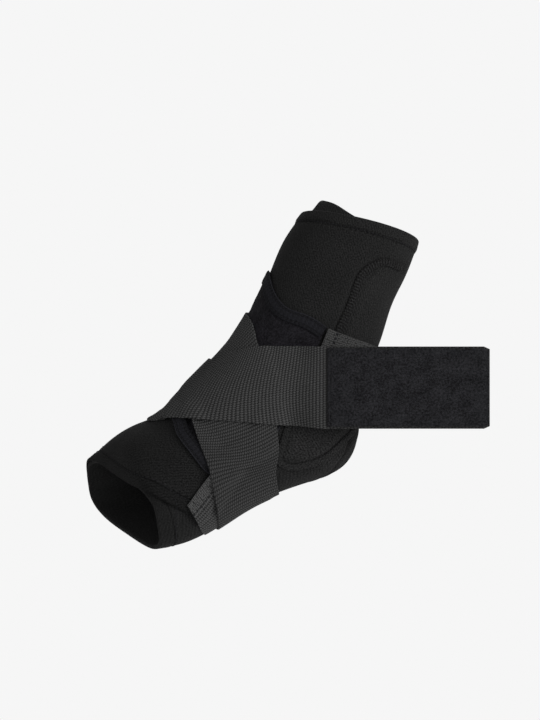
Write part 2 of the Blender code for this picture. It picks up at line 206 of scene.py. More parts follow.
class BraceSizes(bpy.types.PropertyGroup):
    """Sizes of the cloths and of what is woven and sewn into them."""

    sleeve_wall: bpy.props.FloatProperty(
        name="Sleeve wall", description="Foamed rubber with its two jersey faces", default=0.0030,
        unit="LENGTH")
    hem_depth: bpy.props.FloatProperty(
        name="Hem depth", description="Turned-over edge at the upper rim and on the flap", default=0.0082,
        unit="LENGTH")
    toe_hem_depth: bpy.props.FloatProperty(
        name="Toe hem depth", description="Turned-over edge of the sleeve at the toe rim", default=0.0108,
        unit="LENGTH")
    flap_thickness: bpy.props.FloatProperty(
        name="Flap thickness", description="Outer layer over the forefoot", default=0.0018, unit="LENGTH")
    panel_thickness: bpy.props.FloatProperty(
        name="Panel thickness", description="Loop cloth over the instep", default=0.0009, unit="LENGTH")
    border_width: bpy.props.FloatProperty(
        name="Border width", description="Binding sewn round the panel", default=0.0092, unit="LENGTH")
    tab_thickness: bpy.props.FloatProperty(
        name="Tab thickness", description="Grey bands at the ankle and the forefoot", default=0.0011,
        unit="LENGTH")
    strap_width: bpy.props.FloatProperty(
        name="Strap width", description="Width of both elastic straps", default=0.0560, unit="LENGTH")
    strap_thickness: bpy.props.FloatProperty(
        name="Strap thickness", description="Elastic without its ribs", default=0.0010, unit="LENGTH")
    rib_pitch: bpy.props.FloatProperty(
        name="Rib pitch", description="From one rib of the elastic to the next", default=0.0023,
        unit="LENGTH")
    rib_height: bpy.props.FloatProperty(
        name="Rib height", description="Rise of a rib above its grooves", default=0.00036, unit="LENGTH")
    pick_pitch: bpy.props.FloatProperty(
        name="Pick pitch", description="From one stitch of a rib to the next", default=0.0016, unit="LENGTH")
    seam_width: bpy.props.FloatProperty(
        name="Seam width", description="Flat ladder seam round the ankle", default=0.0052, unit="LENGTH")
    seam_pitch: bpy.props.FloatProperty(
        name="Seam pitch", description="From one rung of the ladder seam to the next", default=0.0021,
        unit="LENGTH")
    stitch_pitch: bpy.props.FloatProperty(
        name="Stitch pitch", description="Lockstitch on hems and tabs", default=0.0029, unit="LENGTH")
    stitch_length: bpy.props.FloatProperty(
        name="Stitch length", description="Length of thread that shows", default=0.0022, unit="LENGTH")
    thread_radius: bpy.props.FloatProperty(
        name="Thread radius", description="Half the sewing thread", default=0.00024, unit="LENGTH")
    tack_radius: bpy.props.FloatProperty(
        name="Tack radius", description="Half the heavier thread across the tabs", default=0.00042,
        unit="LENGTH")
    tack_inset: bpy.props.FloatProperty(
        name="Tack inset", description="From the ankle tab's end to the stitches across it", default=0.0068,
        unit="LENGTH")
    tab_fold: bpy.props.FloatProperty(
        name="Tab fold", description="Lighter tape folded over the forefoot tab's end", default=0.0105,
        unit="LENGTH")
    hook_pitch: bpy.props.FloatProperty(
        name="Hook pitch", description="From one hook of the patch to the next", default=0.0018,
        unit="LENGTH")


class BraceColours(bpy.types.PropertyGroup):
    """Colours of the cloths, as sRGB hex values."""

    sleeve: bpy.props.StringProperty(
        name="Sleeve", description="Black jersey on foamed rubber", default="#1D1D1D")
    # The forefoot flap is the same jersey as the sleeve, given a darker colour as painted shade for its side
    # that faces away from the key light
    flap: bpy.props.StringProperty(
        name="Forefoot flap", description="The same jersey", default="#1A1A1A")
    panel: bpy.props.StringProperty(
        name="Panel", description="Purplish-black loop cloth", default="#1B1A1D")
    binding: bpy.props.StringProperty(
        name="Binding", description="Folded jersey round the panel", default="#1A1A1D")
    pad: bpy.props.StringProperty(
        name="End pad", description="Bluish-black brushed loop cloth", default="#202022")
    elastic: bpy.props.StringProperty(
        name="Elastic", description="Charcoal yarn of the straps", default="#343434")
    tab: bpy.props.StringProperty(
        name="Tabs", description="Lighter charcoal tape", default="#3B3B3B")
    thread: bpy.props.StringProperty(
        name="Thread", description="Black sewing thread", default="#1C1C1E")
    hooks: bpy.props.StringProperty(
        name="Hooks", description="Dark nylon hooks", default="#242426")
    stage: bpy.props.StringProperty(
        name="Stage", description="Pale floor", default="#CCCCCC")


def sizes():
    """The sizes in use."""
    return bpy.context.scene.brace_sizes


def colours():
    """The colours in use."""
    return bpy.context.scene.brace_colours


def spline_bends(rows):
    """Second differences of the natural cubic spline through the rows."""
    count = len(rows)
    matrix = np.zeros((count, count))
    right = np.zeros_like(rows)
    matrix[0, 0] = matrix[-1, -1] = 1
    for i in range(1, count - 1):
        matrix[i, i - 1:i + 2] = 1, 4, 1
        right[i] = 6 * (rows[i - 1] - 2 * rows[i] + rows[i + 1])
    return np.linalg.solve(matrix, right)


def spline(rows, bends, place):
    """Points of that spline, with place counted in rows from 0."""
    place = np.asarray(place, float)
    i = np.clip(np.floor(place).astype(int), 0, len(rows) - 2)
    after = (place - i)[..., None]
    before = 1 - after
    bend = ((before ** 3 - before) * bends[i] + (after ** 3 - after) * bends[i + 1]) / 6
    return before * rows[i] + after * rows[i + 1] + bend


SECTION_SCALE = np.array([SLEEVE_SPAN] * 6 + [SLEEVE_WIDTH] * 3 + [1.0])
SECTION_ROWS = np.array(SECTIONS) * SECTION_SCALE
SECTION_BENDS = spline_bends(SECTION_ROWS)


def outer_face(along, around):
    """Points on the sleeve's outer face."""
    row = spline(SECTION_ROWS, SECTION_BENDS, along)
    angle = np.radians(around)
    power = row[..., 9]
    reach = (np.abs(np.cos(angle)) ** power + np.abs(np.sin(angle)) ** power) ** (-1 / power)
    front, side = np.cos(angle) * reach, np.sin(angle) * reach
    return np.stack([row[..., 0] + row[..., 2] * front + row[..., 4] * side,
                     row[..., 7] + row[..., 8] * front - row[..., 6] * side,
                     row[..., 1] + row[..., 3] * front + row[..., 5] * side], -1)


def face_at(places):
    """Points on the sleeve's outer face at a grid of places."""
    return outer_face(places[..., 0], places[..., 1])


def unit(vectors):
    """The same directions with a length of 1."""
    return vectors / np.linalg.norm(vectors, axis=-1, keepdims=True)


def slopes(along, around, turn):
    """How far the outer face runs over twice the reach along, and over twice the turn around."""
    down = outer_face(along + SLOPE_REACH, around) - outer_face(along - SLOPE_REACH, around)
    over = outer_face(along, around + turn) - outer_face(along, around - turn)
    return down, over


def outward(along, around):
    """Unit normals of the sleeve's outer face."""
    return unit(np.cross(*slopes(along, around, 1.0)))


def raised(places, lift):
    """Points at a height above the sleeve's outer face."""
    return face_at(places) + outward(places[..., 0], places[..., 1]) * np.asarray(lift)[..., None]


def runs(points, axis=0):
    """Distance of each point from the first one of its line, along an axis of a grid of points."""
    steps = np.linalg.norm(np.diff(points, axis=axis), axis=-1)
    return np.concatenate([np.zeros_like(steps.take([0], axis)), np.cumsum(steps, axis=axis)], axis)


def run_of(points):
    """Mean distance of each row of a grid of points from its first row."""
    return runs(points).mean(1)


def cut_of(points):
    """Width and length of the flat piece that a grid of points was cut from."""
    return float(runs(points, 1)[:, -1].mean()), float(run_of(points)[-1])


def fine_spline(rows):
    """Forty points of the smooth curve for each of its rows."""
    return spline(rows, spline_bends(rows), np.linspace(0, len(rows) - 1, 40 * len(rows)))


def even_rows(rows, line, count):
    """Rows at even steps of the line of points that they stand for."""
    run = runs(line)
    even = np.linspace(0, run[-1], count)
    return np.stack([np.interp(even, run, column) for column in rows.T], -1)


def drawn_through(points, count):
    """Places at even steps along a smooth curve through the given (along, around) places."""
    fine = fine_spline(np.array(points, float))
    return even_rows(fine, face_at(fine), count)


def ruled(one_edge, other_edge, count_long, shares):
    """A grid of places between two edges."""
    a, b = drawn_through(one_edge, count_long), drawn_through(other_edge, count_long)
    share = np.asarray(shares)[None, :, None]
    return a[:, None] * (1 - share) + b[:, None] * share


def strap_places(rows, width, count_long, shares):
    """A grid of places between a strap's edges, with each row set to its share of the strap's width."""
    fine = fine_spline(np.array(rows, float))
    row = even_rows(fine, face_at((fine[:, :2] + fine[:, 2:4]) / 2), count_long)
    share = np.asarray(shares)[None, :, None]
    places = row[:, None, :2] * (1 - share) + row[:, None, 2:4] * share
    stretch = (width * row[:, 4] / runs(face_at(places), 1)[:, -1])[:, None, None]
    middle = (row[:, None, :2] + row[:, None, 2:4]) / 2
    return middle + (places - middle) * stretch


def beside(path, distances):
    """Places at set distances to one side of a path, in metres over the surface."""
    along, around = path[:, 0], path[:, 1]
    ahead = unit(np.gradient(outer_face(along, around), axis=0))
    side = np.cross(outward(along, around), ahead)
    down, per_around = slopes(along, around, 0.5)
    per_along = down / (2 * SLOPE_REACH)
    # The side is split into its parts along and around, which aren't square to one another
    aa, bb = (per_along ** 2).sum(1), (per_around ** 2).sum(1)
    ab, sa, sb = (per_along * per_around).sum(1), (side * per_along).sum(1), (side * per_around).sum(1)
    det = aa * bb - ab ** 2
    turn = np.stack([(sa * bb - sb * ab) / det, (sb * aa - sa * ab) / det], -1)
    return path[:, None] + turn[:, None] * np.asarray(distances)[None, :, None]


def within(distance, edge, soft=0.0008):
    """1 up to an edge and 0 past it, with a soft step."""
    return 0.5 - 0.5 * np.tanh((distance - edge) / soft)


relief = np.zeros((CELLS_ALONG, CELLS_AROUND))


def cell(along, around):
    """Fractional cell of a place."""
    return ((along - ALONG_START) / (ALONG_END - ALONG_START) * (CELLS_ALONG - 1),
            np.mod(around, 360) / 360 * CELLS_AROUND)


def bedding(places):
    """Height of the layers below each place, eased over their edges as cloth is."""
    grid = relief.copy()
    for _ in range(REACH_CELLS + SMOOTH_CELLS):
        padded = np.pad(grid, ((1, 1), (0, 0)), mode="edge")
        grid = np.maximum.reduce([padded[:-2], padded[1:-1], padded[2:]])
        grid = np.maximum.reduce([np.roll(grid, 1, 1), grid, np.roll(grid, -1, 1)])
    for _ in range(SMOOTH_CELLS):
        padded = np.pad(grid, ((1, 1), (0, 0)), mode="edge")
        grid = (padded[:-2] + padded[1:-1] + padded[2:]) / 3
        grid = (np.roll(grid, 1, 1) + grid + np.roll(grid, -1, 1)) / 3
    i, j = cell(places[..., 0], places[..., 1])
    i = np.clip(i, 0, CELLS_ALONG - 1.001)
    i0, j0 = np.floor(i).astype(int), np.floor(j).astype(int) % CELLS_AROUND
    di, dj = i - np.floor(i), j - np.floor(j)
    j1 = (j0 + 1) % CELLS_AROUND
    return ((grid[i0, j0] * (1 - dj) + grid[i0, j1] * dj) * (1 - di)
            + (grid[i0 + 1, j0] * (1 - dj) + grid[i0 + 1, j1] * dj) * di)


def top_of(places):
    """Height of the layers laid so far at each place, with no easing."""
    i, j = cell(places[..., 0], places[..., 1])
    i = np.clip(np.round(i).astype(int), 0, CELLS_ALONG - 1)
    return relief[i, np.round(j).astype(int) % CELLS_AROUND]


def cover(places, top, fill=(2, 4)):
    """Record a laid cloth's top height in the grid, filling in so many points along and across."""
    laid = np.concatenate([places, top[..., None]], -1)
    for u in np.linspace(0, 1, fill[0], endpoint=False):
        line = laid[:-1] * (1 - u) + laid[1:] * u
        for v in np.linspace(0, 1, fill[1], endpoint=False):
            point = line[:, :-1] * (1 - v) + line[:, 1:] * v
            i, j = cell(point[..., 0], point[..., 1])
            i = np.clip(np.round(i).astype(int), 0, CELLS_ALONG - 1)
            j = np.round(j).astype(int) % CELLS_AROUND
            np.maximum.at(relief, (i, j), point[..., 2])


def edge_shares(count, width, fold):
    """Shares across a cloth, closer together in the last fold of width at each edge."""
    near = fold / width * np.array([0.0, 0.12, 0.35, 0.65, 1.0])
    return np.concatenate([near, np.linspace(near[-1], 1 - near[-1], count)[1:-1], 1 - near[::-1]])


def edge_round(points, fold):
    """How full a cloth is at each point: least at its four edges, and 1 beyond the fold."""
    across, run = runs(points, 1), runs(points)
    near = np.minimum(across, across[:, -1:] - across)
    near = np.minimum(near, np.minimum(run, run[-1:] - run))
    share = np.clip(near / fold, 0, 1)
    return np.maximum(EDGE_FULLNESS, np.sqrt(1 - (1 - share) ** 2))


def from_first_edge(uv):
    """Distance of each place from the cloth's first edge."""
    return uv[..., 1] - uv[:, :1, 1]


def linear(hex_colour):
    """A linear colour from an sRGB hex value."""
    parts = [int(hex_colour[k:k + 2], 16) / 255 for k in (1, 3, 5)]
    return [c / 12.92 if c <= 0.04045 else ((c + 0.055) / 1.055) ** 2.4 for c in parts] + [1.0]


def add_node(tree, kind, inputs=None, **settings):
    """A node with its settings, and its inputs set to values or linked to other nodes' outputs."""
    node = tree.nodes.new(kind)
    for name, value in settings.items():
        setattr(node, name, value)
    for name, value in (inputs or {}).items():
        if isinstance(value, bpy.types.NodeSocket):
            tree.links.new(value, node.inputs[name])
        else:
            node.inputs[name].default_value = value
    return node


def new_material(name):
    """A node material, its tree and its shader."""
    made = bpy.data.materials.new(name)
    made.use_nodes = True
    tree = made.node_tree
    return made, tree, tree.nodes["Principled BSDF"]


def shade(colour, factor):
    """A linear colour made darker or lighter."""
    return [c * factor for c in colour[:3]] + [1.0]


def finish_cloth(tree, shader, hex_colour, shades, span, factor, height, depth, roughness, sheen, specular,
                 toned=True):
    """Colour a cloth between two shades over a span of the factor, and give it its relief and its sheen."""
    ramp = add_node(tree, "ShaderNodeValToRGB", {"Fac": factor})
    for element, position, strength in zip(ramp.color_ramp.elements, span, shades):
        element.position = position
        element.color = shade(linear(hex_colour), strength)
    colour = ramp.outputs["Color"]
    if toned:
        # Painted shade in sewn grooves and pressed places, and painted highlights, come from the tone that
        # the piece records at each point
        tone = add_node(tree, "ShaderNodeAttribute", attribute_name="tone").outputs["Vector"]
        kept = add_node(tree, "ShaderNodeVectorMath", {0: colour, 1: tone}, operation="MULTIPLY")
        colour = kept.outputs["Vector"]
    tree.links.new(colour, shader.inputs["Base Color"])
    bump = add_node(tree, "ShaderNodeBump", {"Height": height, "Strength": 1.0, "Distance": depth})
    tree.links.new(bump.outputs["Normal"], shader.inputs["Normal"])
    shader.inputs["Roughness"].default_value = roughness
    shader.inputs["Sheen Weight"].default_value = sheen
    shader.inputs["Sheen Roughness"].default_value = 0.5
    shader.inputs["Specular IOR Level"].default_value = specular


def jersey(name, hex_colour, contrast=1.0):
    """Knitted nylon jersey bonded to foamed rubber: a fine matt grain with faint slanting wales."""
    made, tree, shader = new_material(name)
    place = add_node(tree, "ShaderNodeUVMap", uv_map="cloth").outputs["UV"]
    # Grain of 1 mm, and slow patches of 20 mm where the jersey has been handled
    grain = add_node(tree, "ShaderNodeTexNoise", {"Vector": place, "Scale": 1 / 0.0010, "Detail": 3,
                                                  "Roughness": 0.75}).outputs["Fac"]
    cloud = add_node(tree, "ShaderNodeTexNoise", {"Vector": place, "Scale": 1 / 0.020, "Detail": 2,
                                                  "Roughness": 0.6}).outputs["Fac"]
    # Wales are really 0.6 mm apart and are drawn at 1.7 mm, so that they show in the render. The wave
    # texture repeats after pi / 10 at a scale of 1
    slant = add_node(tree, "ShaderNodeMapping", {"Vector": place, "Rotation": (0, 0, 0.9)})
    wales = add_node(tree, "ShaderNodeTexWave", {"Vector": slant.outputs["Vector"],
                                                 "Scale": math.pi / 10 / 0.0017, "Distortion": 2.5,
                                                 "Detail": 2.0})
    knit = add_node(tree, "ShaderNodeMath", {0: wales.outputs["Fac"], 1: 0.07, 2: grain},
                    operation="MULTIPLY_ADD").outputs[0]
    mixed = add_node(tree, "ShaderNodeMath", {0: cloud, 1: 0.07, 2: knit}, operation="MULTIPLY_ADD")
    shades = (1.15 - 0.80 * contrast, 1.15 + 0.80 * contrast)
    finish_cloth(tree, shader, hex_colour, shades, span=(0.46, 0.71), factor=mixed.outputs[0], height=knit,
                 depth=0.0005, roughness=0.95, sheen=0.02, specular=0.05)
    return made


def loop_cloth(name, hex_colour, tuft, depth):
    """Brushed nylon loop cloth: a deep matt pile in soft tufts that catches light at its edges."""
    made, tree, shader = new_material(name)
    place = add_node(tree, "ShaderNodeUVMap", uv_map="cloth").outputs["UV"]
    tufts = add_node(tree, "ShaderNodeTexNoise", {"Vector": place, "Scale": 1 / tuft, "Detail": 5,
                                                  "Roughness": 0.72}).outputs["Fac"]
    fibres = add_node(tree, "ShaderNodeTexNoise", {"Vector": place, "Scale": 4 / tuft, "Detail": 3,
                                                   "Roughness": 0.8}).outputs["Fac"]
    pile = add_node(tree, "ShaderNodeMath", {0: tufts, 1: fibres}, operation="MULTIPLY").outputs[0]
    # The brush leaves soft patches about 9 mm wide
    cloud = add_node(tree, "ShaderNodeTexNoise", {"Vector": place, "Scale": 1 / 0.009, "Detail": 2,
                                                  "Roughness": 0.6}).outputs["Fac"]
    mixed = add_node(tree, "ShaderNodeMath", {0: cloud, 1: 0.16, 2: pile}, operation="MULTIPLY_ADD")
    finish_cloth(tree, shader, hex_colour, shades=(0.22, 2.23), span=(0.255, 0.445),
                 factor=mixed.outputs[0], height=pile, depth=depth, roughness=1.0, sheen=0.03, specular=0.02)
    return made


def ribbed_elastic(name, hex_colour):
    """Knitted rubber and polyester elastic: round cross ribs of small slanting stitches."""
    made, tree, shader = new_material(name)
    place = add_node(tree, "ShaderNodeUVMap", uv_map="cloth").outputs["UV"]
    size = sizes()
    axes = add_node(tree, "ShaderNodeSeparateXYZ", {"Vector": place})
    wander = add_node(tree, "ShaderNodeTexNoise", {"Vector": place, "Scale": 1 / 0.006, "Detail": 2,
                                                   "Roughness": 0.6}).outputs["Fac"]
    rib = add_node(tree, "ShaderNodeMath", {0: axes.outputs["X"], 1: 1 / size.rib_pitch},
                   operation="MULTIPLY").outputs[0]
    number = add_node(tree, "ShaderNodeMath", {0: rib}, operation="FLOOR").outputs[0]
    # Each rib's stitches start a little further on than those of the rib before
    stagger = add_node(tree, "ShaderNodeMath", {0: number, 1: 0.37, 2: wander},
                       operation="MULTIPLY_ADD").outputs[0]
    pick = add_node(tree, "ShaderNodeMath", {0: axes.outputs["Y"], 1: 1 / size.pick_pitch, 2: stagger},
                    operation="MULTIPLY_ADD").outputs[0]
    # The cosines run from 1 in a groove to -1 on a crest of the ribs, and from 1 to -1 along each stitch
    turn = add_node(tree, "ShaderNodeMath", {0: rib, 1: 2 * math.pi}, operation="MULTIPLY").outputs[0]
    crest = add_node(tree, "ShaderNodeMath", {0: turn}, operation="COSINE").outputs[0]
    turn_pick = add_node(tree, "ShaderNodeMath", {0: pick, 1: 2 * math.pi}, operation="MULTIPLY").outputs[0]
    bead = add_node(tree, "ShaderNodeMath", {0: turn_pick}, operation="COSINE").outputs[0]
    woven = add_node(tree, "ShaderNodeMath", {0: bead, 1: 0.24, 2: 0.5}, operation="MULTIPLY_ADD").outputs[0]
    ribbed = add_node(tree, "ShaderNodeMath", {0: crest, 1: -0.18, 2: woven},
                      operation="MULTIPLY_ADD").outputs[0]
    # Yarn of 0.3 mm is drawn as grain of 0.7 mm, so that it shows
    grain = add_node(tree, "ShaderNodeTexNoise", {"Vector": place, "Scale": 1 / 0.0007, "Detail": 3,
                                                  "Roughness": 0.8}).outputs["Fac"]
    mixed = add_node(tree, "ShaderNodeMath", {0: grain, 1: 0.5, 2: ribbed},
                     operation="MULTIPLY_ADD").outputs[0]
    # The colour is drawn from the same relief as the bump, so the crests of the ribs get a painted highlight
    # and their grooves painted shade
    finish_cloth(tree, shader, hex_colour, shades=(0.30, 1.85), span=(0.40, 1.15), factor=mixed,
                 height=mixed, depth=0.0006, roughness=0.85, sheen=0.02, specular=0.06)
    return made


def tape(name, hex_colour):
    """Woven polyester tape: small bright yarn crossings on a dark ground."""
    made, tree, shader = new_material(name)
    place = add_node(tree, "ShaderNodeUVMap", uv_map="cloth").outputs["UV"]
    # The crossings are really 0.8 mm apart and are drawn at 1.2 mm, so that they show
    spots = add_node(tree, "ShaderNodeMapping", {"Vector": place, "Scale": (1 / 0.0012, 1 / 0.0015, 1)})
    yarn = add_node(tree, "ShaderNodeTexVoronoi", {"Vector": spots.outputs["Vector"], "Scale": 1.0,
                                                   "Randomness": 0.4}, voronoi_dimensions="2D", feature="F1")
    grain = add_node(tree, "ShaderNodeTexNoise", {"Vector": place, "Scale": 1 / 0.0006, "Detail": 3,
                                                  "Roughness": 0.8}).outputs["Fac"]
    up = add_node(tree, "ShaderNodeMath", {0: 0.9, 1: yarn.outputs["Distance"]}, operation="SUBTRACT")
    mixed = add_node(tree, "ShaderNodeMath", {0: up.outputs[0], 1: grain}, operation="MULTIPLY").outputs[0]
    finish_cloth(tree, shader, hex_colour, shades=(0.25, 1.75), span=(0.12, 0.42), factor=mixed,
                 height=mixed, depth=0.0006, roughness=0.8, sheen=0.02, specular=0.08)
    return made


def plain_finish(name, hex_colour, patch, detail, shades, depth, roughness, sheen, specular):
    """One even finish with soft patches of a size, in Object coordinates."""
    made, tree, shader = new_material(name)
    place = add_node(tree, "ShaderNodeTexCoord").outputs["Object"]
    cloud = add_node(tree, "ShaderNodeTexNoise", {"Vector": place, "Scale": 1 / patch, "Detail": detail,
                                                  "Roughness": 0.6}).outputs["Fac"]
    finish_cloth(tree, shader, hex_colour, shades, (0.3, 0.7), cloud, cloud, depth, roughness, sheen,
                 specular, toned=False)
    return made, shader


def spun_thread(name, hex_colour):
    """Spun polyester thread: matt, with fibres that show as specks of 0.5 mm."""
    return plain_finish(name, hex_colour, patch=0.0005, detail=2, shades=(0.7, 1.4), depth=0.0001,
                        roughness=0.75, sheen=0.02, specular=0.1)[0]


def moulded_nylon(name, hex_colour):
    """Moulded nylon hook tape: dark and slightly glossy, with faint patches of 4 mm."""
    return plain_finish(name, hex_colour, patch=0.004, detail=2, shades=(0.85, 1.2), depth=0.0001,
                        roughness=0.45, sheen=0.0, specular=0.3)[0]


def opal_acrylic(name, hex_colour):
    """Matt opal acrylic floor, faintly lit from below, so that it is pale from every side."""
    made, shader = plain_finish(name, hex_colour, patch=0.2, detail=3, shades=(0.985, 1.0), depth=0.0002,
                                roughness=0.9, sheen=0.0, specular=0.1)
    shader.inputs["Emission Color"].default_value = linear(hex_colour)
    shader.inputs["Emission Strength"].default_value = 0.70
    return made


def set_material(piece, made):
    """Give a piece its one material."""
    piece.data.materials.clear()
    piece.data.materials.append(made)


def add_mesh(name, points, faces, made_of, uv=None, tone=1.0):
    """A smooth piece from points and faces, with cloth coordinates in metres where given.

    tone scales the colour at each point, to paint light and shade: 1 on the flat, less where shade is
    painted in a sewn groove.
    """
    mesh = bpy.data.meshes.new(name)
    mesh.from_pydata(points.tolist(), [], faces)
    if uv is not None:
        corners = np.empty(len(mesh.loops), np.int32)
        mesh.loops.foreach_get("vertex_index", corners)
        mesh.uv_layers.new(name="cloth").data.foreach_set("uv", uv[corners].ravel())
    tones = mesh.attributes.new("tone", "FLOAT", "POINT")
    tones.data.foreach_set("value", np.broadcast_to(tone, len(points)).astype(np.float32))
    mesh.shade_smooth()
    mesh.materials.append(made_of)
    piece = bpy.data.objects.new(name, mesh)
    bpy.context.scene.collection.objects.link(piece)
    return piece


def grid_faces(rows, columns, first=0, closed=False):
    """Quads of a grid of vertices, whose columns may close on themselves."""
    i = np.arange(rows - 1)[:, None] * columns + first
    j = np.arange(columns if closed else columns - 1)[None, :]
    k = (j + 1) % columns
    return np.stack([i + j, i + k, i + columns + k, i + columns + j], -1).reshape(-1, 4)


def strip_faces(one, other):
    """Quads between two rows of vertex numbers."""
    return np.stack([one[:-1], other[:-1], other[1:], one[1:]], -1)


def wall_faces(rows, sides):
    """Faces of a tube: its outer wall, its inner wall with half as many sides, and its two rims."""
    outer = np.arange(rows * sides).reshape(rows, sides)
    inner = rows * sides + np.arange(rows * sides // 2).reshape(rows, sides // 2)
    faces = [grid_faces(rows, sides, 0, True), grid_faces(rows, sides // 2, rows * sides, True)[:, ::-1]]
    for ring, turned in ((0, 1), (rows - 1, -1)):
        even, odd = outer[ring][::2], outer[ring][1::2]
        first, then = inner[ring], np.roll(inner[ring], -1)
        # Two outer edges meet one inner edge, in a triangle that names its last corner twice and a quad
        triangles = np.stack([even, first, odd, odd], -1)
        quads = np.stack([odd, first, then, np.roll(even, -1)], -1)
        faces.append(np.concatenate([triangles, quads])[:, ::turned])
    return np.concatenate(faces)


def turned_out(points, faces):
    """The faces of a closed piece, all turned round where they enclose it with their outsides in."""
    a, b, c, d = (points[faces[:, k]] for k in range(4))
    volume = (a * np.cross(b, c)).sum() + (a * np.cross(c, d)).sum()
    return faces if volume > 0 else faces[:, ::-1]


def add_cloth(name, top, bottom, made_of, uv, tone=1.0):
    """A closed cloth between two grids of points that share their rounded edges."""
    rows, columns = top.shape[:2]
    below = rows * columns
    points = np.concatenate([top.reshape(-1, 3), bottom.reshape(-1, 3)])
    number = np.arange(below).reshape(rows, columns)
    sides = [strip_faces(number[0], number[0] + below),
             strip_faces(number[-1] + below, number[-1]),
             strip_faces(number[:, 0] + below, number[:, 0]),
             strip_faces(number[:, -1], number[:, -1] + below)]
    faces = np.concatenate([grid_faces(rows, columns), grid_faces(rows, columns, below)[:, ::-1], *sides])
    tones = np.broadcast_to(tone, (rows, columns)).ravel()
    return add_mesh(name, points, turned_out(points, faces).tolist(), made_of,
                    np.concatenate([uv.reshape(-1, 2)] * 2), np.concatenate([tones] * 2))


def cloth_uv(points):
    """Metres along the rows and across each row's middle of a grid of points."""
    across = runs(points, 1)
    from_middle = across - across[:, -1:] / 2
    return np.stack([np.broadcast_to(run_of(points)[:, None], across.shape), from_middle], -1)


def lay_cloth(name, places, thickness, made_of, fold, relief_of=None, tone_of=None, cover_fill=(2, 4)):
    """Lay a cloth over what is there already.

    relief_of gives what is woven or gathered into its top, and tone_of how its colour is scaled there, to
    paint light and shade on it.
    """
    face = face_at(places)
    uv = cloth_uv(face)
    full = edge_round(face, fold)
    middle = bedding(places) + LAYER_GAP + thickness / 2
    woven = relief_of(uv) if relief_of else 0.0
    top = middle + full * (thickness / 2 + woven)
    bottom = middle - full * thickness / 2
    tone = tone_of(uv) if tone_of else 1.0
    piece = add_cloth(name, raised(places, top), raised(places, bottom), made_of, uv, tone)
    cover(places, top, cover_fill)
    return piece


def surface_normals(points):
    """Unit normals of a grid of points, on the side that faces outwards at its end."""
    out = unit(np.cross(np.gradient(points, axis=0), np.gradient(points, axis=1)))
    return out if out[-1].mean(0)[1] < 0 else -out


def edit_all():
    """Go into edit mode with all of the active object selected."""
    bpy.ops.object.mode_set(mode="EDIT")
    bpy.ops.mesh.select_all(action="SELECT")


def taken_shape():
    """Points and faces of the active object, which is removed: a shape that is modelled once and copied."""
    model = bpy.context.active_object
    mesh = model.data
    points = np.array([v.co for v in mesh.vertices])
    faces = [tuple(p.vertices) for p in mesh.polygons]
    bpy.data.objects.remove(model)
    bpy.data.meshes.remove(mesh)
    return points, faces


def bar_shape(radius, length):
    """A bar of thread along X: round, with sunk and tapered ends."""
    bpy.ops.object.select_all(action="DESELECT")
    bpy.ops.mesh.primitive_cylinder_add(vertices=8, radius=radius, depth=length, end_fill_type="NGON",
                                        rotation=(0, math.pi / 2, 0))
    bpy.ops.object.transform_apply(location=False, rotation=True, scale=False)
    for share in (-0.8, -0.4, 0.0, 0.4, 0.8):
        edit_all()
        bpy.ops.mesh.bisect(plane_co=(share * length / 2, 0, 0), plane_no=(1, 0, 0))
    bpy.ops.object.mode_set(mode="OBJECT")
    points, faces = taken_shape()
    share = np.abs(points[:, 0]) / (length / 2)
    points[:, 1:] *= (1 - THREAD_TAPER * share ** 3)[:, None]
    points[:, 2] -= radius * 1.1 * share ** 2
    return points, faces


def add_copies(name, shape, starts, axes, made_of):
    """Joined copies of a shape, each at its own start and along its own three axes."""
    points, faces = shape
    placed = starts[:, None] + points @ axes
    copied = [tuple(v + k * len(points) for v in face) for k in range(len(starts)) for face in faces]
    return add_mesh(name, placed.reshape(-1, 3), copied, made_of)


def on_surface(path, lift):
    """Points and unit normals of a path at a height above the layers laid so far."""
    return raised(path, top_of(path) + lift), outward(path[:, 0], path[:, 1])


def sew(name, lines, shape, pitch, made_of):
    """Copies of one bar of thread along lines of (points, unit normals)."""
    starts, axes = [], []
    for line, up in lines:
        run = runs(line)
        steps = np.arange(pitch / 2, run[-1], pitch)
        here, out, ahead = (np.stack([np.interp(steps, run, part[:, k]) for k in range(3)], -1)
                            for part in (line, up, np.gradient(line, axis=0)))
        out = unit(out)
        ahead = unit(ahead - out * (ahead * out).sum(1, keepdims=True))
        starts.append(here)
        axes.append(np.stack([ahead, np.cross(out, ahead), out], 1))
    return add_copies(name, shape, np.concatenate(starts), np.concatenate(axes), made_of)


def near_path(points, path):
    """Distance from each point to the nearest point of a path."""
    near = np.full(points.shape[:-1], np.inf)
    for place in path:
        near = np.minimum(near, np.linalg.norm(points - place, axis=-1))
    return near


def bump_at(distance, centre, width):
    """A smooth hump of height 1 round a distance."""
    return np.exp(-((distance - centre) / width) ** 2)


def worn_folds(along, around):
    """Slow waves of worn foam: soft creases across the front of the ankle, and slack above it."""
    angle = np.radians(around)
    front = np.clip(np.cos(angle), 0, 1) ** 2
    crease_height, slack_height = 0.0006, 0.00035
    crease = np.sin(along * 5.2 + 0.9 * np.sin(angle * 2)) * bump_at(along, 4.2, 2.0) * front
    slack = np.sin(along * 2.3 + 1.7 * np.cos(angle * 3 + 0.6)) * (0.35 + 0.65 * bump_at(along, 1.6, 1.4))
    return crease_height * crease + slack_height * slack


def corner_cut(from_end, share):
    """How far each point of the free end moves to its middle line, so that both corners are cut off."""
    return np.clip(CORNER_LENGTH - from_end, 0, None) * (0.5 - share) * CORNER_SLOPE


def finish_piece(piece, replaced=()):
    """Ride and replacement of one piece."""
    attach(piece, "root")
    if replaced:
        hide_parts(*replaced)


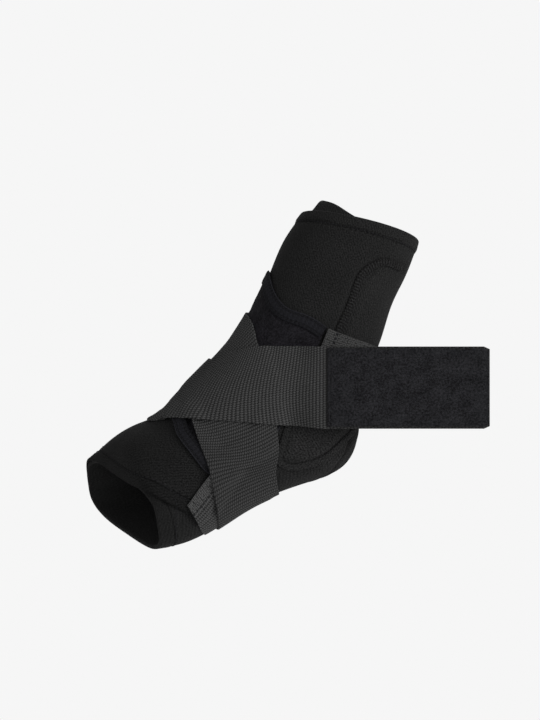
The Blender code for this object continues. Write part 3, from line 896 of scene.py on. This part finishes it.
class BRACE_OT_sleeve(bpy.types.Operator):
    """Make the foamed-rubber sleeve with its hems, seams and soft folds"""

    bl_idname = "brace.sleeve"
    bl_label = "Sleeve"

    def execute(self, context):
        size = sizes()
        cloth = jersey("nylon_jersey_on_foamed_rubber", colours().sleeve)
        # Rings are closer together at the two rims, where the edge is rounded
        rim = np.array([0.0, 0.012, 0.035, 0.07, 0.11])
        rings = np.concatenate([rim, np.linspace(0.15, TOE_RIM - 0.15, 222), TOE_RIM - rim[::-1]])
        sides = 240
        along, around = np.meshgrid(rings, np.linspace(0, 360, sides, endpoint=False), indexing="ij")
        places = np.stack([along, around], -1)
        face = face_at(places)
        down = runs(face)
        from_toe = down[-1:] - down
        seam = drawn_through(OVAL_SEAM, 420)
        off_seam = near_path(face, face_at(seam)) - size.seam_width / 2
        off_heel = near_path(face, face_at(drawn_through(HEEL_SEAM, 160)))
        hem, toe_hem = within(down, size.hem_depth), within(from_toe, size.toe_hem_depth)
        hem_groove = bump_at(down, size.hem_depth + HEM_GROOVE, HEM_GROOVE)
        toe_groove = bump_at(from_toe, size.toe_hem_depth + HEM_GROOVE, HEM_GROOVE)
        heel_groove = bump_at(off_heel, 0, 0.0012)
        pucker = np.sin(np.radians(around) * SLEEVE_WIDTH / 2 / 0.0006)
        pucker *= bump_at(down, size.hem_depth + 0.0022, 0.0016)
        # The hems stand up, their stitches and the heel seam sink in, and the cloth bulges beside the seams
        lift = 0.0011 * hem + 0.00012 * pucker - 0.0005 * hem_groove + 0.0003 * toe_hem - 0.0004 * toe_groove
        lift += 0.0005 * bump_at(off_seam, 0.0045, 0.0028) - 0.0006 * bump_at(off_seam, 0.0005, 0.0009)
        lift += 0.0003 * bump_at(off_heel, 0.0028, 0.0016) - 0.0006 * heel_groove
        clear_of_rims = np.clip((along - 1.0) / 0.8, 0, 1) * np.clip((11.8 - along) / 0.8, 0, 1)
        lift += worn_folds(along, around) * clear_of_rims
        near_rim = np.clip(np.minimum(down, from_toe) / 0.0014, 0, 1)
        full = np.sqrt(np.clip(1 - (1 - near_rim) ** 2, 0.02, 1))
        rounded = (1 - full) * size.sleeve_wall / 2
        outer = raised(places, lift - rounded)
        inner = raised(places, rounded - size.sleeve_wall)[:, ::2]
        points = np.concatenate([outer.reshape(-1, 3), inner.reshape(-1, 3)])
        girth = runs(np.concatenate([face, face[:, :1]], 1), 1).mean(0)
        uv = np.stack([down, np.broadcast_to(girth[:-1], down.shape)], -1)
        uv = np.concatenate([uv.reshape(-1, 2), uv[:, ::2].reshape(-1, 2)])
        # Painted shade in the grooves of both hems, of the heel seam and beside the ladder seam, and painted
        # light and shade on the puckers below the upper hem; the toe hem is a little darker
        dark = 0.55 * hem_groove + 0.45 * toe_groove + 0.55 * heel_groove + 0.15 * toe_hem - 0.22 * pucker
        dark += 0.15 * bump_at(off_seam, 0.0002, 0.0006)
        # The strip behind the heel seam gets painted shade
        behind_heel = within(151, around, 2.0) * within(around, 209, 2.0)
        dark += 0.30 * behind_heel * within(6.3, along, 0.2) * within(along, 8.8, 0.3)
        # Light is painted on the cloth inside the oval of the ladder seam, most of all in its lower half
        front_of_oval = seam[:300]  # The rest of its 420 points run back below the ankle
        inside = within(np.interp(along, front_of_oval[:, 0], front_of_oval[:, 1]), around, 2.0)
        inside *= within(1.5, along, 0.1) * within(along, 7.9, 0.15) * within(around, 176, 4.0)
        # The upper hem gets a faint painted highlight
        light = 0.06 * hem + inside * (0.13 + 0.18 * within(5.5, along, 0.5))
        tone = np.clip(1 + light - dark, 0.25, 1.5)
        tone = np.concatenate([tone.ravel(), np.ones(inner.size // 3)])
        faces = turned_out(points, wall_faces(len(rings), sides))
        faces = [tuple(dict.fromkeys(corners)) for corners in faces.tolist()]
        sleeve = add_mesh("sleeve", points, faces, cloth, uv, tone)
        cover(places, lift, (3, 3))
        finish_piece(sleeve, ["ankle_sleeve"])
        return {"FINISHED"}


class BRACE_OT_inner_flap(bpy.types.Operator):
    """Make the inner end of the wrap, whose corner shows above the upper rim"""

    bl_idname = "brace.inner_flap"
    bl_label = "Inner flap"

    def execute(self, context):
        cloth = jersey("nylon_jersey_of_inner_flap", colours().sleeve)
        places = ruled(INNER_FLAP_TOP, INNER_FLAP_BOTTOM, 80, edge_shares(30, 0.06, 0.001))
        face = face_at(places)
        half = edge_round(face, 0.001) * INNER_FLAP_THICKNESS / 2
        middle = -(sizes().sleeve_wall + FLAP_BEHIND_WALL + INNER_FLAP_THICKNESS / 2)
        flap = add_cloth("inner_flap_cloth", raised(places, middle + half), raised(places, middle - half),
                         cloth, cloth_uv(face))
        finish_piece(flap, ["inner_flap"])
        cut_of(face)
        return {"FINISHED"}


class BRACE_OT_forefoot_flap(bpy.types.Operator):
    """Make the outer layer over the forefoot with its hem"""

    bl_idname = "brace.forefoot_flap"
    bl_label = "Forefoot flap"

    def execute(self, context):
        size = sizes()
        # The flap's jersey is painted darker than the sleeve's, as painted shade
        cloth = jersey("nylon_jersey_of_forefoot_flap", colours().flap)
        places = ruled(FLAP_FRONT, FLAP_BACK, 200, edge_shares(74, 0.1, 0.001))

        def hemmed(uv):
            from_front = from_first_edge(uv)
            waves = np.sin(uv[..., 0] / 0.011) * np.sin(from_front / 0.014 + 1)
            return (0.0004 * within(from_front, size.hem_depth) + 0.0003 * waves
                    - 0.0005 * bump_at(from_front, size.hem_depth + HEM_GROOVE, HEM_GROOVE)
                    - 0.0002 * bump_at(from_front, size.hem_depth * 0.78, 0.0006))

        def toned(uv):
            from_front = from_first_edge(uv)
            pucker = np.sin(uv[..., 0] / 0.0007) * bump_at(from_front, size.hem_depth + 0.0020, 0.0014)
            # Painted shade in the hem's stitch groove and along the rounded front edge, and painted light
            # and shade on small puckers below the hem; the hem itself is a little darker
            return (1 - 0.18 * within(from_front, size.hem_depth) + 0.25 * pucker
                    - 0.50 * bump_at(from_front, size.hem_depth + HEM_GROOVE, HEM_GROOVE)
                    - 0.50 * bump_at(from_front, 0, 0.0009))

        flap = lay_cloth("forefoot_flap_cloth", places, size.flap_thickness, cloth, fold=0.0011,
                         relief_of=hemmed, tone_of=toned)
        finish_piece(flap, ["forefoot_flap"])
        cut_of(face_at(places))
        return {"FINISHED"}


class BRACE_OT_instep_panel(bpy.types.Operator):
    """Make the loop-cloth panel over the instep and the binding sewn round it"""

    bl_idname = "brace.instep_panel"
    bl_label = "Instep panel"

    def execute(self, context):
        size = sizes()
        cloth = loop_cloth("brushed_loop_cloth_of_panel", colours().panel, tuft=0.0017, depth=0.0006)
        places = ruled(PANEL_TOP, PANEL_BOTTOM, 190, edge_shares(72, 0.1, 0.0006))

        def brushed(uv):
            return 0.00012 * np.sin(uv[..., 0] / 0.0017) * np.sin(uv[..., 1] / 0.0019)

        panel = lay_cloth("instep_panel_cloth", places, size.panel_thickness, cloth, fold=0.0006,
                          relief_of=brushed)
        finish_piece(panel, ["instep_panel"])
        binding = jersey("folded_binding_of_panel", colours().binding, contrast=0.45)
        width = size.border_width
        # The binding stands out past the panel's edge, and is sewn down by a line along each of its own
        overhang, thickness = 0.0006, 0.0006
        first_line, second_line = 0.0016, width - 0.0018

        def sewn(uv):
            from_edge = from_first_edge(uv)
            lines = bump_at(from_edge, first_line, 0.0006) + bump_at(from_edge, second_line, 0.0006)
            return lines + 0.8 * bump_at(from_edge, width, 0.0005)

        def gathers(uv):
            return np.sin(uv[..., 0] / 0.0005)

        def gathered(uv):
            return 0.00008 * gathers(uv) - 0.00030 * sewn(uv)

        def toned(uv):
            # Painted shade in the two stitch grooves and along the inner edge, painted light and shade on
            # the gathers, and a painted highlight along the outer edge
            painted_edge_highlight = bump_at(from_first_edge(uv), 0.0002, 0.0005)
            return 1.05 + 0.12 * gathers(uv) - 0.6 * sewn(uv) + 0.5 * painted_edge_highlight

        bound = []
        for name, edge, side in (("panel_top_binding", PANEL_TOP, -1),
                                 ("panel_front_binding", PANEL_BOTTOM, 1)):
            path = drawn_through(edge, 360)
            strip_places = beside(path, side * (width * edge_shares(16, width, 0.0006) - overhang))
            strip = lay_cloth(name, strip_places, thickness, binding, fold=0.0005, relief_of=gathered,
                              tone_of=toned, cover_fill=(2, 3))
            finish_piece(strip)
            strip_width, length = cut_of(face_at(strip_places))
            # The binding is folded in half before it is sewn on
            for depth in (first_line, second_line):
                line = beside(path, [side * (depth - overhang)])[:, 0]
                bound.append(on_surface(line, lift=0.0001))
        thread = spun_thread("spun_polyester_thread_of_binding", colours().thread)
        stitches = sew("binding_stitches", bound, bar_shape(size.thread_radius, size.stitch_length),
                       size.stitch_pitch, thread)
        finish_piece(stitches)
        cut_of(face_at(places))
        return {"FINISHED"}


class BRACE_OT_tabs(bpy.types.Operator):
    """Make the grey tapes behind the ankle and low on the forefoot"""

    bl_idname = "brace.tabs"
    bl_label = "Tabs"

    def execute(self, context):
        size = sizes()
        woven = tape("woven_polyester_tape", colours().tab)
        thread = spun_thread("spun_polyester_thread_of_tabs", colours().thread)
        places = ruled(ANKLE_TAB_TOP, ANKLE_TAB_BOTTOM, 130, edge_shares(50, 0.045, 0.0005))
        face = face_at(places)
        ankle = lay_cloth("ankle_tab_tape", places, size.tab_thickness, woven, fold=0.0005)
        finish_piece(ankle, ["ankle_tab"])
        cut_of(face)
        # Two rows of heavier stitches hold the ankle tab's end
        tacked = int(np.searchsorted(run_of(face), size.tack_inset))
        lines = [on_surface(places[row], lift=0.0001) for row in (tacked, tacked + 2)]
        fore_places = strap_places(FOREFOOT_TAB_ROWS, FOREFOOT_TAB_WIDTH, 240, edge_shares(60, 0.04, 0.0005))
        # The forefoot tab's end is cut square, so its middle lies lower than a line between its corners
        sag_degrees, sag_reach = 3.0, 0.02
        share = np.linspace(0, 1, fore_places.shape[1])
        fade = np.exp(-run_of(face_at(fore_places)) / sag_reach)[:, None]
        fore_places[..., 1] += sag_degrees * fade * 4 * share * (1 - share)
        fore_face = face_at(fore_places)
        elastic = ribbed_elastic("ribbed_elastic_of_forefoot_tab", colours().elastic)
        thin = size.tab_thickness * 0.6
        fore = lay_cloth("forefoot_tab_elastic", fore_places, thin, elastic, fold=0.0004)
        finish_piece(fore, ["forefoot_tab"])
        cut_of(fore_face)
        # That end is wrapped in a fold of the lighter tape, with a line of dashes sewn along its edge, which
        # are painted darker: the dark thread, and painted shade where the stitches pull the tape in
        fold_rows = int(np.searchsorted(run_of(fore_face), size.tab_fold))
        dash_pitch, dash_inset = 0.0036, 0.0022

        def tacked_down(uv):
            dash = 0.5 + 0.5 * np.tanh(3 * np.sin(2 * np.pi * uv[..., 1] / dash_pitch))
            return 1.22 - 0.85 * bump_at(uv[..., 0], size.tab_fold - dash_inset, 0.0006) * dash

        end = lay_cloth("forefoot_tab_fold", fore_places[:fold_rows], thin, woven, fold=0.0004,
                        tone_of=tacked_down)
        finish_piece(end)
        end_width, end_length = cut_of(fore_face[:fold_rows])
        lines.append(on_surface(fore_places[fold_rows - 5], lift=0.0001))
        stitches = sew("tab_stitches", lines, bar_shape(size.tack_radius, size.stitch_length),
                       size.stitch_pitch * 1.1, thread)
        finish_piece(stitches)
        return {"FINISHED"}


def ribs(uv):
    """Rise of the elastic's ribs at cloth coordinates in metres."""
    size = sizes()
    wave = 0.5 - 0.5 * np.cos(2 * np.pi * uv[..., 0] / size.rib_pitch)
    return size.rib_height * wave ** 0.7


def elastic_rows(length):
    """How many rows a length of elastic needs, so that each rib gets its samples."""
    return int(round(length / sizes().rib_pitch * SAMPLES_PER_RIB)) + 1


class BRACE_OT_inner_strap(bpy.types.Operator):
    """Make the elastic strap that winds over the instep to the inner side, and its loop-cloth end"""

    bl_idname = "brace.inner_strap"
    bl_label = "Inner strap"

    def execute(self, context):
        size = sizes()
        elastic = ribbed_elastic("ribbed_elastic_of_inner_strap", colours().elastic)
        shares = edge_shares(16, size.strap_width, 0.0008)
        places = strap_places(INNER_STRAP_ROWS, size.strap_width, elastic_rows(INNER_STRAP_WOUND), shares)

        def painted_shade_under_sole(uv):
            # Shade is painted on the sewn end, a little darker where it lies under the sole
            return 1 - 0.24 * within(uv[..., 0], 0.066, 0.022)

        strap = lay_cloth("inner_strap_elastic", places, size.strap_thickness, elastic, fold=0.0006,
                          relief_of=ribs, tone_of=painted_shade_under_sole, cover_fill=(1, 5))
        finish_piece(strap, ["inner_strap"])
        cut_of(face_at(places))
        pile = loop_cloth("brushed_loop_cloth_of_inner_end", colours().pad, tuft=0.0028, depth=0.0008)
        shares = edge_shares(60, size.strap_width, 0.0006)
        end_places = strap_places(INNER_END_ROWS, size.strap_width, 90, shares)
        end = lay_cloth("inner_strap_end_pile", end_places, size.strap_thickness, pile, fold=0.0006)
        finish_piece(end, ["inner_strap_end"])
        cut_of(face_at(end_places))
        return {"FINISHED"}


class BRACE_OT_outer_strap(bpy.types.Operator):
    """Make the elastic strap that crosses the instep and is pulled out to its free end"""

    bl_idname = "brace.outer_strap"
    bl_label = "Outer strap"

    def execute(self, context):
        size = sizes()
        thickness = size.strap_thickness
        elastic = ribbed_elastic("ribbed_elastic_of_outer_strap", colours().elastic)
        shares = edge_shares(16, size.strap_width, 0.0008)
        places = strap_places(OUTER_STRAP_ROWS, size.strap_width, elastic_rows(OUTER_STRAP_WOUND), shares)
        wound = raised(places, bedding(places) + LAYER_GAP)
        pad_low, pad_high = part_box("outer_strap_end_pad")
        end_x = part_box("outer_strap")[1].x
        # From its last row on the sleeve the strap turns into a straight line across, and runs out along X
        last = wound[-1]
        leave_x = last.mean(0)[0]
        back_y = pad_high.y + STANDS_BEHIND_PAD + thickness + size.rib_height
        line_z = pad_high.z + STANDS_ABOVE_PAD - shares * size.strap_width
        line = np.stack([np.full_like(line_z, leave_x), np.full_like(line_z, back_y), line_z], -1)
        step = size.rib_pitch / SAMPLES_PER_RIB
        out_x = np.arange(step, end_x - leave_x, step)[:, None, None]
        share = np.clip(out_x / FREE_STRETCH, 0, 1)
        share = share * share * (3 - 2 * share)
        free = last * (1 - share) + line * share + out_x * np.array([1.0, 0, 0])
        base = np.concatenate([wound, free])
        base[..., 2] -= corner_cut(end_x - base[..., 0], shares)
        # The bend where the strap leaves the sleeve is eased
        weight = np.zeros(len(base))
        weight[len(wound) - EASED_BEFORE:len(wound) + EASED_AFTER] = np.hanning(EASED_BEFORE + EASED_AFTER)
        for _ in range(EASED_TIMES):
            total = np.cumsum(base, axis=0)
            mean = (total[EASED_TOGETHER:] - total[:-EASED_TOGETHER]) / EASED_TOGETHER
            eased = base.copy()
            eased[EASED_TOGETHER // 2:EASED_TOGETHER // 2 + len(mean)] = mean
            base += (eased - base) * weight[:, None, None]
        uv = cloth_uv(base)
        # Ribs stand up on the sleeve and out to the pad, and are pressed flat under it
        on_sleeve = uv[..., 0] < 0.2
        before_pad = 1 / (1 + np.exp((base[..., 0] - pad_low.x) / 0.0006))
        rise = thickness / 2 + ribs(uv) * np.clip(before_pad + on_sleeve, 0, 1)
        full = edge_round(base, 0.0006)
        out = surface_normals(base)
        top = base + out * (thickness / 2 + full * rise)[..., None]
        bottom = base + out * ((1 - full) * thickness / 2)[..., None]
        # Shade is painted on the strap where it runs behind the pad
        tone = 1 - 0.38 * within(pad_low.x, base[..., 0], 0.0006)
        strap = add_cloth("outer_strap_elastic", top, bottom, elastic, uv, tone)
        finish_piece(strap, ["outer_strap"])
        cut_of(base)
        return {"FINISHED"}


class BRACE_OT_end_pad(bpy.types.Operator):
    """Make the brushed pad on the free end"""

    bl_idname = "brace.end_pad"
    bl_label = "End pad"

    def execute(self, context):
        pile = loop_cloth("brushed_loop_cloth_of_end_pad", colours().pad, tuft=0.0015, depth=0.0006)
        low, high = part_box("outer_strap_end_pad")
        length, width = high.x - low.x, high.z - low.z
        fold = 0.0012
        u, v = np.meshgrid(edge_shares(180, length, fold) * length, edge_shares(88, width, fold) * width,
                           indexing="ij")
        back = np.stack([low.x + u, np.full_like(u, high.y), high.z - v], -1)
        tufts = np.sin(u / 0.0009 + 2 * np.sin(v / 0.004)) * np.sin(v / 0.0008 + 2 * np.sin(u / 0.0033))
        # The pad is pressed down by the seams along its two ends and its lower edge
        sewn = bump_at(u, 0.0016, 0.0007) + bump_at(length - u, 0.0020, 0.0007)
        sewn += bump_at(width - v, 0.0012, 0.0006)
        ground = high.y - low.y - 0.0003
        pile_height = edge_round(back, fold) * ground + 0.00010 * tufts - 0.0004 * sewn
        flat = np.zeros_like(u)
        cut = corner_cut(length - u, v / width)
        front = back - np.stack([flat, pile_height, cut], -1)
        behind = back - np.stack([flat, flat, cut], -1)
        pad = add_cloth("end_pad_pile", front, behind, pile, np.stack([u, v], -1))
        finish_piece(pad, ["outer_strap_end_pad"])
        return {"FINISHED"}


class BRACE_OT_hook_patch(bpy.types.Operator):
    """Make the hook tape on the inside of the free end"""

    bl_idname = "brace.hook_patch"
    bl_label = "Hook patch"

    def execute(self, context):
        size = sizes()
        nylon = moulded_nylon("moulded_nylon_hook_tape", colours().hooks)
        low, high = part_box("outer_strap_hook_patch")
        length, width = high.x - low.x, high.z - low.z
        backing = 0.0007
        centre = ((low.x + high.x) / 2, low.y + backing / 2, (low.z + high.z) / 2)
        bpy.ops.object.select_all(action="DESELECT")
        bpy.ops.mesh.primitive_cube_add(size=1, location=centre, scale=(length, backing, width))
        tape_piece = context.active_object
        tape_piece.name = "hook_tape"
        bpy.ops.object.transform_apply(location=True, rotation=True, scale=True)
        edit_all()
        bpy.ops.mesh.bevel(offset=0.0002, segments=2)
        bpy.ops.mesh.subdivide(number_cuts=2)
        bpy.ops.object.mode_set(mode="OBJECT")
        bpy.ops.object.shade_smooth_by_angle(angle=0.7)
        set_material(tape_piece, nylon)
        finish_piece(tape_piece, ["outer_strap_hook_patch"])
        # One hook, a thin stem that bends over, is spun from a small five-sided disc and copied in rows
        stem = 0.0005
        bpy.ops.object.select_all(action="DESELECT")
        bpy.ops.mesh.primitive_circle_add(vertices=5, radius=0.00016, fill_type="NGON", location=(0, 0, 0))
        edit_all()
        bpy.ops.mesh.extrude_region_move(TRANSFORM_OT_translate={"value": (0, 0, stem)})
        bpy.ops.mesh.spin(steps=4, angle=2.4, center=(0.00028, 0, stem), axis=(0, 1, 0))
        bpy.ops.object.mode_set(mode="OBJECT")
        hook = taken_shape()
        starts, axes = [], []
        margin, sunk = 0.0015, 0.00005
        for i in range(int((length - 2 * margin) / size.hook_pitch) + 1):
            for k in range(int((width - 2 * margin) / size.hook_pitch) + 1):
                # Hooks that are neighbours bend over to opposite sides
                turned = 1 if (i + k) % 2 else -1
                starts.append((low.x + margin + i * size.hook_pitch, low.y + backing - sunk,
                               low.z + margin + k * size.hook_pitch))
                axes.append(((turned, 0, 0), (0, 0, -turned), (0, 1, 0)))
        hooks = add_copies("hook_rows", hook, np.array(starts), np.array(axes), nylon)
        finish_piece(hooks)
        return {"FINISHED"}


class BRACE_OT_seams(bpy.types.Operator):
    """Make the ladder seam round the ankle and the lockstitches along the hems"""

    bl_idname = "brace.seams"
    bl_label = "Seams and stitches"

    def execute(self, context):
        size = sizes()
        cloth = jersey("covered_ladder_seam", colours().sleeve)
        shares = np.linspace(-1, 1, 11)
        places = beside(drawn_through(OVAL_SEAM, 1300), shares * size.seam_width / 2)
        face = face_at(places)
        run = run_of(face)
        # The rungs stand out above the ankle and are worn down round the heel
        fresh = (1 - 0.75 / (1 + np.exp(-(run / run[-1] - 0.62) * 40)))[:, None]
        rung = (0.5 - 0.5 * np.cos(2 * np.pi * run / size.seam_pitch))[:, None]
        crown = np.sqrt(np.clip(1 - np.abs(shares) ** 3, 0, 1))
        gap = fresh * (1 - rung) ** 1.5
        height = crown * (0.0009 - 0.0005 * gap) * (0.7 + 0.3 * fresh)
        # The seam stands on the sleeve, and its underside is sunk into it
        bed = np.minimum(top_of(places), SEAM_SINK)
        # The rungs get a painted highlight, and the gaps between them and the band's sloping sides painted
        # shade
        tone = 1.30 - 0.70 * gap - 0.30 * np.abs(shares) ** 4
        band = add_cloth("ladder_seam", raised(places, bed + height), raised(places, bed - SEAM_SINK), cloth,
                         cloth_uv(face), tone)
        finish_piece(band)
        thread = spun_thread("spun_polyester_thread_of_hems", colours().thread)
        girth = np.linspace(0, 360, 500)
        upper_rim = np.stack([np.full_like(girth, 0.02), girth], -1)
        # The forefoot flap covers the front of the toe hem
        toe_rim = np.stack([np.full_like(girth, TOE_RIM - 0.02), girth], -1)[80:450]
        flap_edge = drawn_through(FLAP_FRONT, 500)
        lines = [on_surface(beside(upper_rim, [-size.hem_depth])[:, 0], lift=0.00015),
                 on_surface(beside(toe_rim, [size.toe_hem_depth])[:, 0], lift=0.00015),
                 on_surface(beside(flap_edge, [size.hem_depth])[:, 0], lift=0.00005)]
        hems = sew("hem_stitches", lines, bar_shape(size.thread_radius * 1.2, size.stitch_length),
                   size.stitch_pitch, thread)
        finish_piece(hems)
        return {"FINISHED"}


class BRACE_OT_stage(bpy.types.Operator):
    """Make the pale floor, the soft lights and the camera"""

    bl_idname = "brace.stage"
    bl_label = "Stage"

    def execute(self, context):
        bpy.ops.object.select_all(action="DESELECT")
        bpy.ops.mesh.primitive_cylinder_add(vertices=96, radius=1.5, depth=0.04, location=(0, 0, -0.62))
        floor = context.active_object
        floor.name = "studio_floor"
        bpy.ops.object.transform_apply(location=True, rotation=True, scale=True)
        edit_all()
        bpy.ops.mesh.bevel(offset=0.01, segments=3)
        bpy.ops.object.mode_set(mode="OBJECT")
        bpy.ops.object.shade_smooth_by_angle(angle=0.6)
        set_material(floor, opal_acrylic("opal_acrylic_floor", colours().stage))
        lights = (
            ("key_light", (1.7, -1.3, 0.5), 1.2, 33.0),
            ("fill_light", (-1.4, -1.3, 0.9), 1.4, 4.0),
            ("low_light", (1.0, -1.4, -0.3), 1.0, 2.0),
            ("back_light", (0.2, 1.6, 1.2), 1.4, 10.0),
        )
        for name, place, width, power in lights:
            bpy.ops.object.light_add(type="AREA", location=place)
            light = context.active_object
            light.name = name
            light.rotation_euler = Vector(place).to_track_quat("Z", "Y").to_euler()
            light.data.size = width
            light.data.energy = power
        world = bpy.data.worlds.new("studio")
        context.scene.world = world
        world.use_nodes = True
        # The backdrop is white paper to the camera and lights the brace with half of that
        tree = world.node_tree
        rays = add_node(tree, "ShaderNodeLightPath")
        strength = add_node(tree, "ShaderNodeMapRange", {"Value": rays.outputs["Is Camera Ray"],
                                                         "To Min": 0.5, "To Max": 1.0})
        backdrop = tree.nodes["Background"]
        backdrop.inputs["Color"].default_value = linear("#F6F6F6")
        tree.links.new(strength.outputs["Result"], backdrop.inputs["Strength"])
        context.scene.view_settings.view_transform = "Standard"
        bpy.ops.object.camera_add(location=(-0.02105, -1.6, 0.0035), rotation=(math.pi / 2, 0, 0))
        camera = context.active_object
        camera.data.lens = 114
        camera.data.sensor_width = 36
        context.scene.camera = camera
        return {"FINISHED"}


class BRACE_PT_panel(bpy.types.Panel):
    """Lists the pieces of the brace"""

    bl_idname = "BRACE_PT_panel"
    bl_label = "Ankle brace"
    bl_space_type = "VIEW_3D"
    bl_region_type = "UI"
    bl_category = "Brace"

    def draw(self, context):
        for group in (context.scene.brace_sizes, context.scene.brace_colours):
            for name in group.__annotations__:
                self.layout.prop(group, name)
        for step in STEPS:
            self.layout.operator(step.bl_idname)


STEPS = (BRACE_OT_stage, BRACE_OT_sleeve, BRACE_OT_inner_flap, BRACE_OT_forefoot_flap, BRACE_OT_instep_panel,
         BRACE_OT_tabs, BRACE_OT_seams, BRACE_OT_inner_strap, BRACE_OT_outer_strap, BRACE_OT_end_pad,
         BRACE_OT_hook_patch)
CLASSES = (BraceSizes, BraceColours, *STEPS, BRACE_PT_panel)


def register():
    """Add the classes and the settings to Blender."""
    for made in CLASSES:
        bpy.utils.register_class(made)
    bpy.types.Scene.brace_sizes = bpy.props.PointerProperty(type=BraceSizes)
    bpy.types.Scene.brace_colours = bpy.props.PointerProperty(type=BraceColours)


def unregister():
    """Take them out again."""
    del bpy.types.Scene.brace_colours
    del bpy.types.Scene.brace_sizes
    for made in reversed(CLASSES):
        bpy.utils.unregister_class(made)


def main():
    """Make every piece in the order in which the brace is sewn."""
    register()
    bpy.ops.brace.stage()
    bpy.ops.brace.sleeve()
    bpy.ops.brace.inner_flap()
    bpy.ops.brace.forefoot_flap()
    bpy.ops.brace.instep_panel()
    bpy.ops.brace.tabs()
    bpy.ops.brace.seams()
    bpy.ops.brace.inner_strap()
    bpy.ops.brace.outer_strap()
    bpy.ops.brace.end_pad()
    bpy.ops.brace.hook_patch()


if __name__ == "__main__":
    main()
